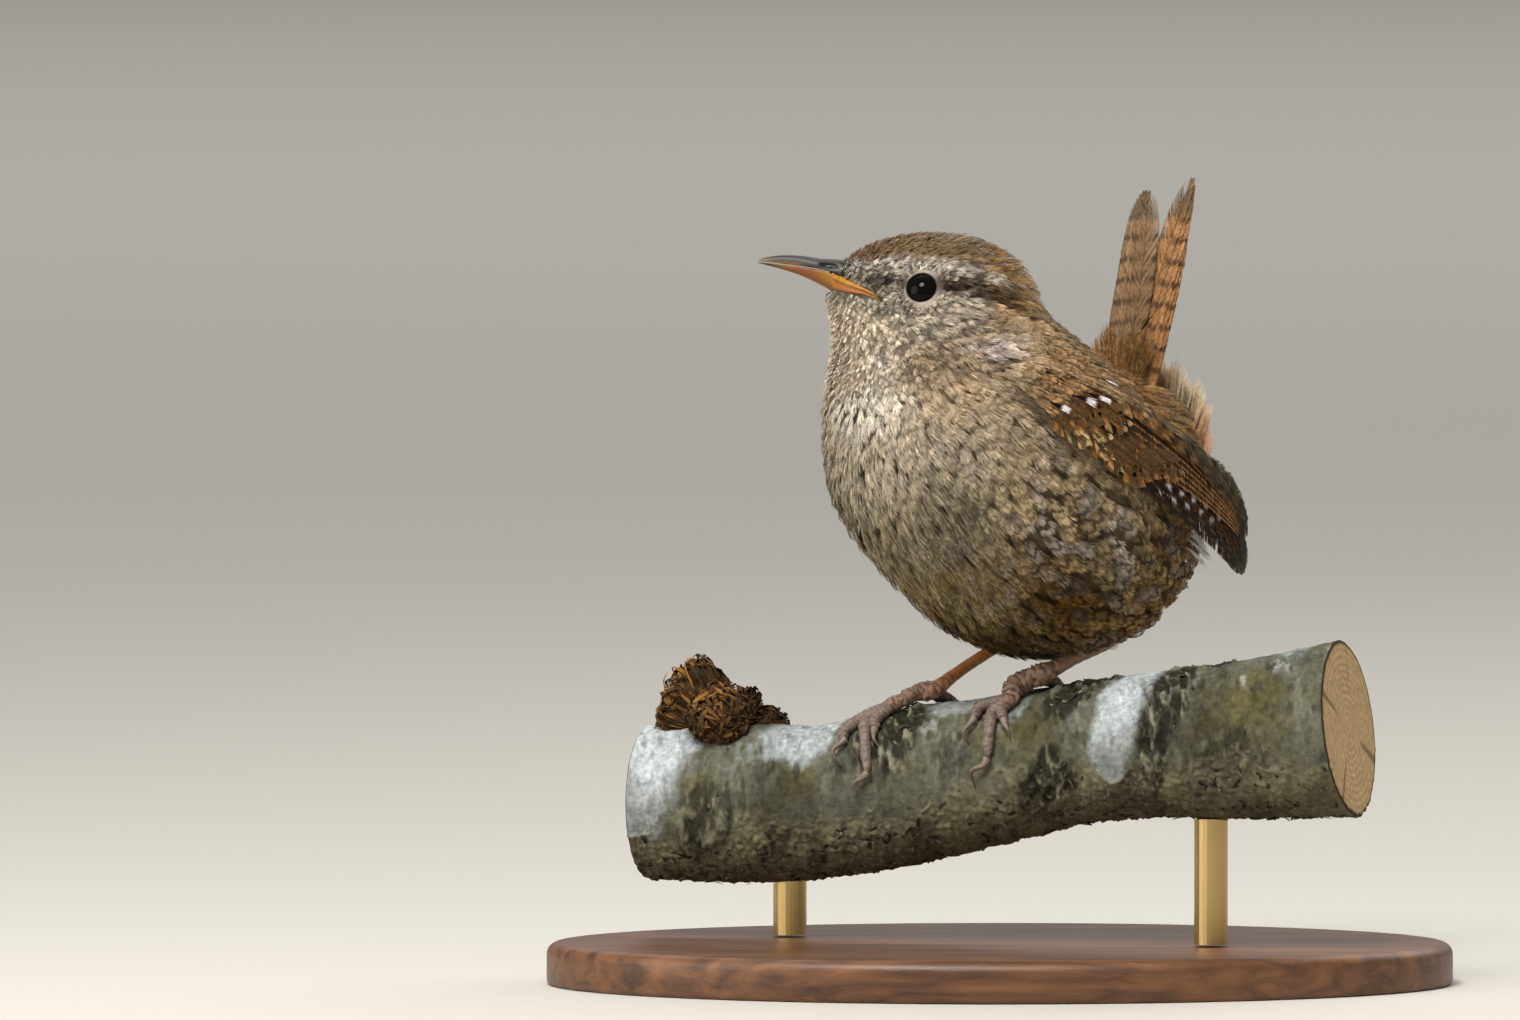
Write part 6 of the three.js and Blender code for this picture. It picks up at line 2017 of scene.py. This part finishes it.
def wood():
    """Dark oiled hardwood with its figure along the base."""
    finish, tree, shader = material("oiled_wood", 0.42, 0.45)
    where = node(tree, "TexCoord")["Object"]
    stretch = node(tree, "Mapping", {"Vector": where, "Scale": (14, 130, 130)})["Vector"]
    texture = {"Vector": stretch, "Scale": 3.0, "Detail": 6.0, "Roughness": 0.62, "Distortion": 0.6}
    figure = node(tree, "TexNoise", texture)["Fac"]
    grain = {"Vector": stretch, "Scale": 22.0, "Detail": 4.0, "Roughness": 0.7}
    pores = node(tree, "TexNoise", grain)["Fac"]
    relief = node(tree, "Bump", {"Strength": 0.25, "Distance": BUMP_DEPTH, "Height": pores})["Normal"]
    colour = colour_ramp(tree, figure, [(0.3, rgb(58, 36, 22)), (0.72, rgb(126, 84, 52))])
    feed(tree, shader, {"Base Color": colour, "Normal": relief})
    return finish


def metal():
    """Brushed brass."""
    finish, tree, shader = material("satin_brass", 0.34, 0.5)
    where = node(tree, "TexCoord")["Object"]
    stretch = node(tree, "Mapping", {"Vector": where, "Scale": (900, 900, 60)})["Vector"]
    brushed = node(tree, "TexNoise", {"Vector": stretch, "Scale": 4.0, "Detail": 3.0})["Fac"]
    spread = node(tree, "MapRange", {"Value": brushed, "To Min": 0.26, "To Max": 0.46})["Result"]
    feed(tree, shader, {"Metallic": 1.0, "Base Color": (*rgb(196, 168, 112), 1), "Roughness": spread})
    return finish


EYE_BALL_RADIUS = 2.3


def eyes():
    """The eyeballs, smooth and wet, in a brown that is nearly black."""
    finish, tree, shader = material("eye", 0.03, 0.08)
    where = node(tree, "TexCoord")["Object"]
    fleck = node(tree, "TexNoise", {"Vector": where, "Scale": 900.0, "Detail": 2.0})["Fac"]
    feed(tree, shader, {"Base Color": colour_ramp(tree, fleck, [(0, rgb(6, 4, 3)), (1, rgb(12, 8, 6))])})
    ball = EYE_BALL_RADIUS * ball_ways(np.linspace(0.01, math.pi - 0.01, 49)[:, None], full_turn(96))
    for centre, name in zip(EYE_CENTRES, EYE_NODES):
        shell(f"{name}_ball", centre + ball, None, finish, "eye", name)


# Stage: floor, light and camera

PIXELS_PER_MM = 8.4
IMAGE_WIDTH = 1520
LOOK_AT = np.array([-28.57, 0, 56.55])
CAMERA_DISTANCE = 2500
CAMERA_ELEVATION = 3
SENSOR = 36


FLOOR_REACH = 6500
BIRD_MIDDLE = (0, 0, 60)
# Lights: name, target, azimuth and elevation in degrees, distance, size, power, colour
LIGHTS = [
    ("key", BIRD_MIDDLE, -18, 52, 700, 300, 6.1, (1.0, 0.97, 0.92)),
    ("fill", BIRD_MIDDLE, -62, 16, 900, 700, 4.2, (1.0, 0.98, 0.95)),
    ("back", BIRD_MIDDLE, 130, 36, 800, 500, 2.1, (1.0, 0.98, 0.95)),
    ("far", (0, 2600, 0), 0, 90, 2400, 3000, 34, (1.0, 0.99, 0.97)),
]


def hung(name, data, target, azimuth, elevation, distance):
    """A light or camera at a distance from its target, turned to it."""
    turn, tilt = math.radians(azimuth), math.radians(elevation)
    way = np.array([math.sin(turn) * math.cos(tilt), -math.cos(turn) * math.cos(tilt), math.sin(tilt)])
    thing = bpy.data.objects.new(name, data)
    thing.location = Vector((np.array(target) + way * distance) * MM)
    thing.rotation_euler = Vector(-way).to_track_quat("-Z", "Y").to_euler()
    bpy.context.scene.collection.objects.link(thing)
    return thing


def stage():
    """A flat open floor, soft lights, a pale world, and the camera at the photograph's angle."""
    reach = np.linspace(-FLOOR_REACH, FLOOR_REACH, 14)
    points = stacked(reach[None], reach[:, None], 0.0).reshape(-1, 3)
    finish, tree, shader = material("floor", 0.9, 0.1)
    feed(tree, shader, {"Base Color": (*rgb(196, 193, 186), 1)})
    build("floor", points, grid_faces(len(reach), len(reach), wrapped=False), finish)

    for name, target, azimuth, elevation, distance, size, power, colour in LIGHTS:
        light = bpy.data.lights.new(name, "AREA")
        light.shape, light.size, light.energy, light.color = "DISK", size * MM, power, colour
        hung(name, light, target, azimuth, elevation, distance)

    world = bpy.context.scene.world or bpy.data.worlds.new("world")
    bpy.context.scene.world = world
    world.use_nodes = True
    sky = world.node_tree.nodes["Background"]
    feed(world.node_tree, sky, {"Color": (0.93, 0.93, 0.92, 1), "Strength": 0.36})

    camera = bpy.data.cameras.new("camera")
    camera.sensor_width = SENSOR
    camera.lens = SENSOR * CAMERA_DISTANCE / (IMAGE_WIDTH / PIXELS_PER_MM)
    camera.clip_start, camera.clip_end = 0.1, 10
    bpy.context.scene.camera = hung("camera", camera, LOOK_AT, 0, CAMERA_ELEVATION, CAMERA_DISTANCE)
    bpy.context.scene.view_settings.view_transform = "Standard"


stage()
plumage = feather_finish("plumage", 0.9, 0.06, 0.12)
tuft_plumage = feather_finish("tuft_plumage", 0.85, 0.1, 0.6)
flight_plumage = feather_finish("flight_plumage", 0.6, 0.2, 0.1)
horn = tinted("horn", 0.45, 0.4, 1500, 0.10, bump=0.1)
leg_finish = tinted("leg_skin", 0.55, 0.35, 1800, 0.18, bump=0.35)
bark_finish = tinted("bark", 0.9, 0.12, 1500, 0.34, bump=1.0)
torn_wood = tinted("torn_wood", 0.9, 0.12, 1500, 0.25, bump=0.5)

skin()
coat(plumage)
for wing_side, wing_name in ((1, "wing_left"), (-1, "wing_right")):
    wing(wing_side, wing_name, flight_plumage, plumage)
tail(flight_plumage, plumage)
undertail(tuft_plumage)
eyes()
lids(leg_finish)
gape(horn)
mandible(True, horn)
mandible(False, horn)
legs(leg_finish, horn)
perch(bark_finish, torn_wood)
stand(wood(), metal())
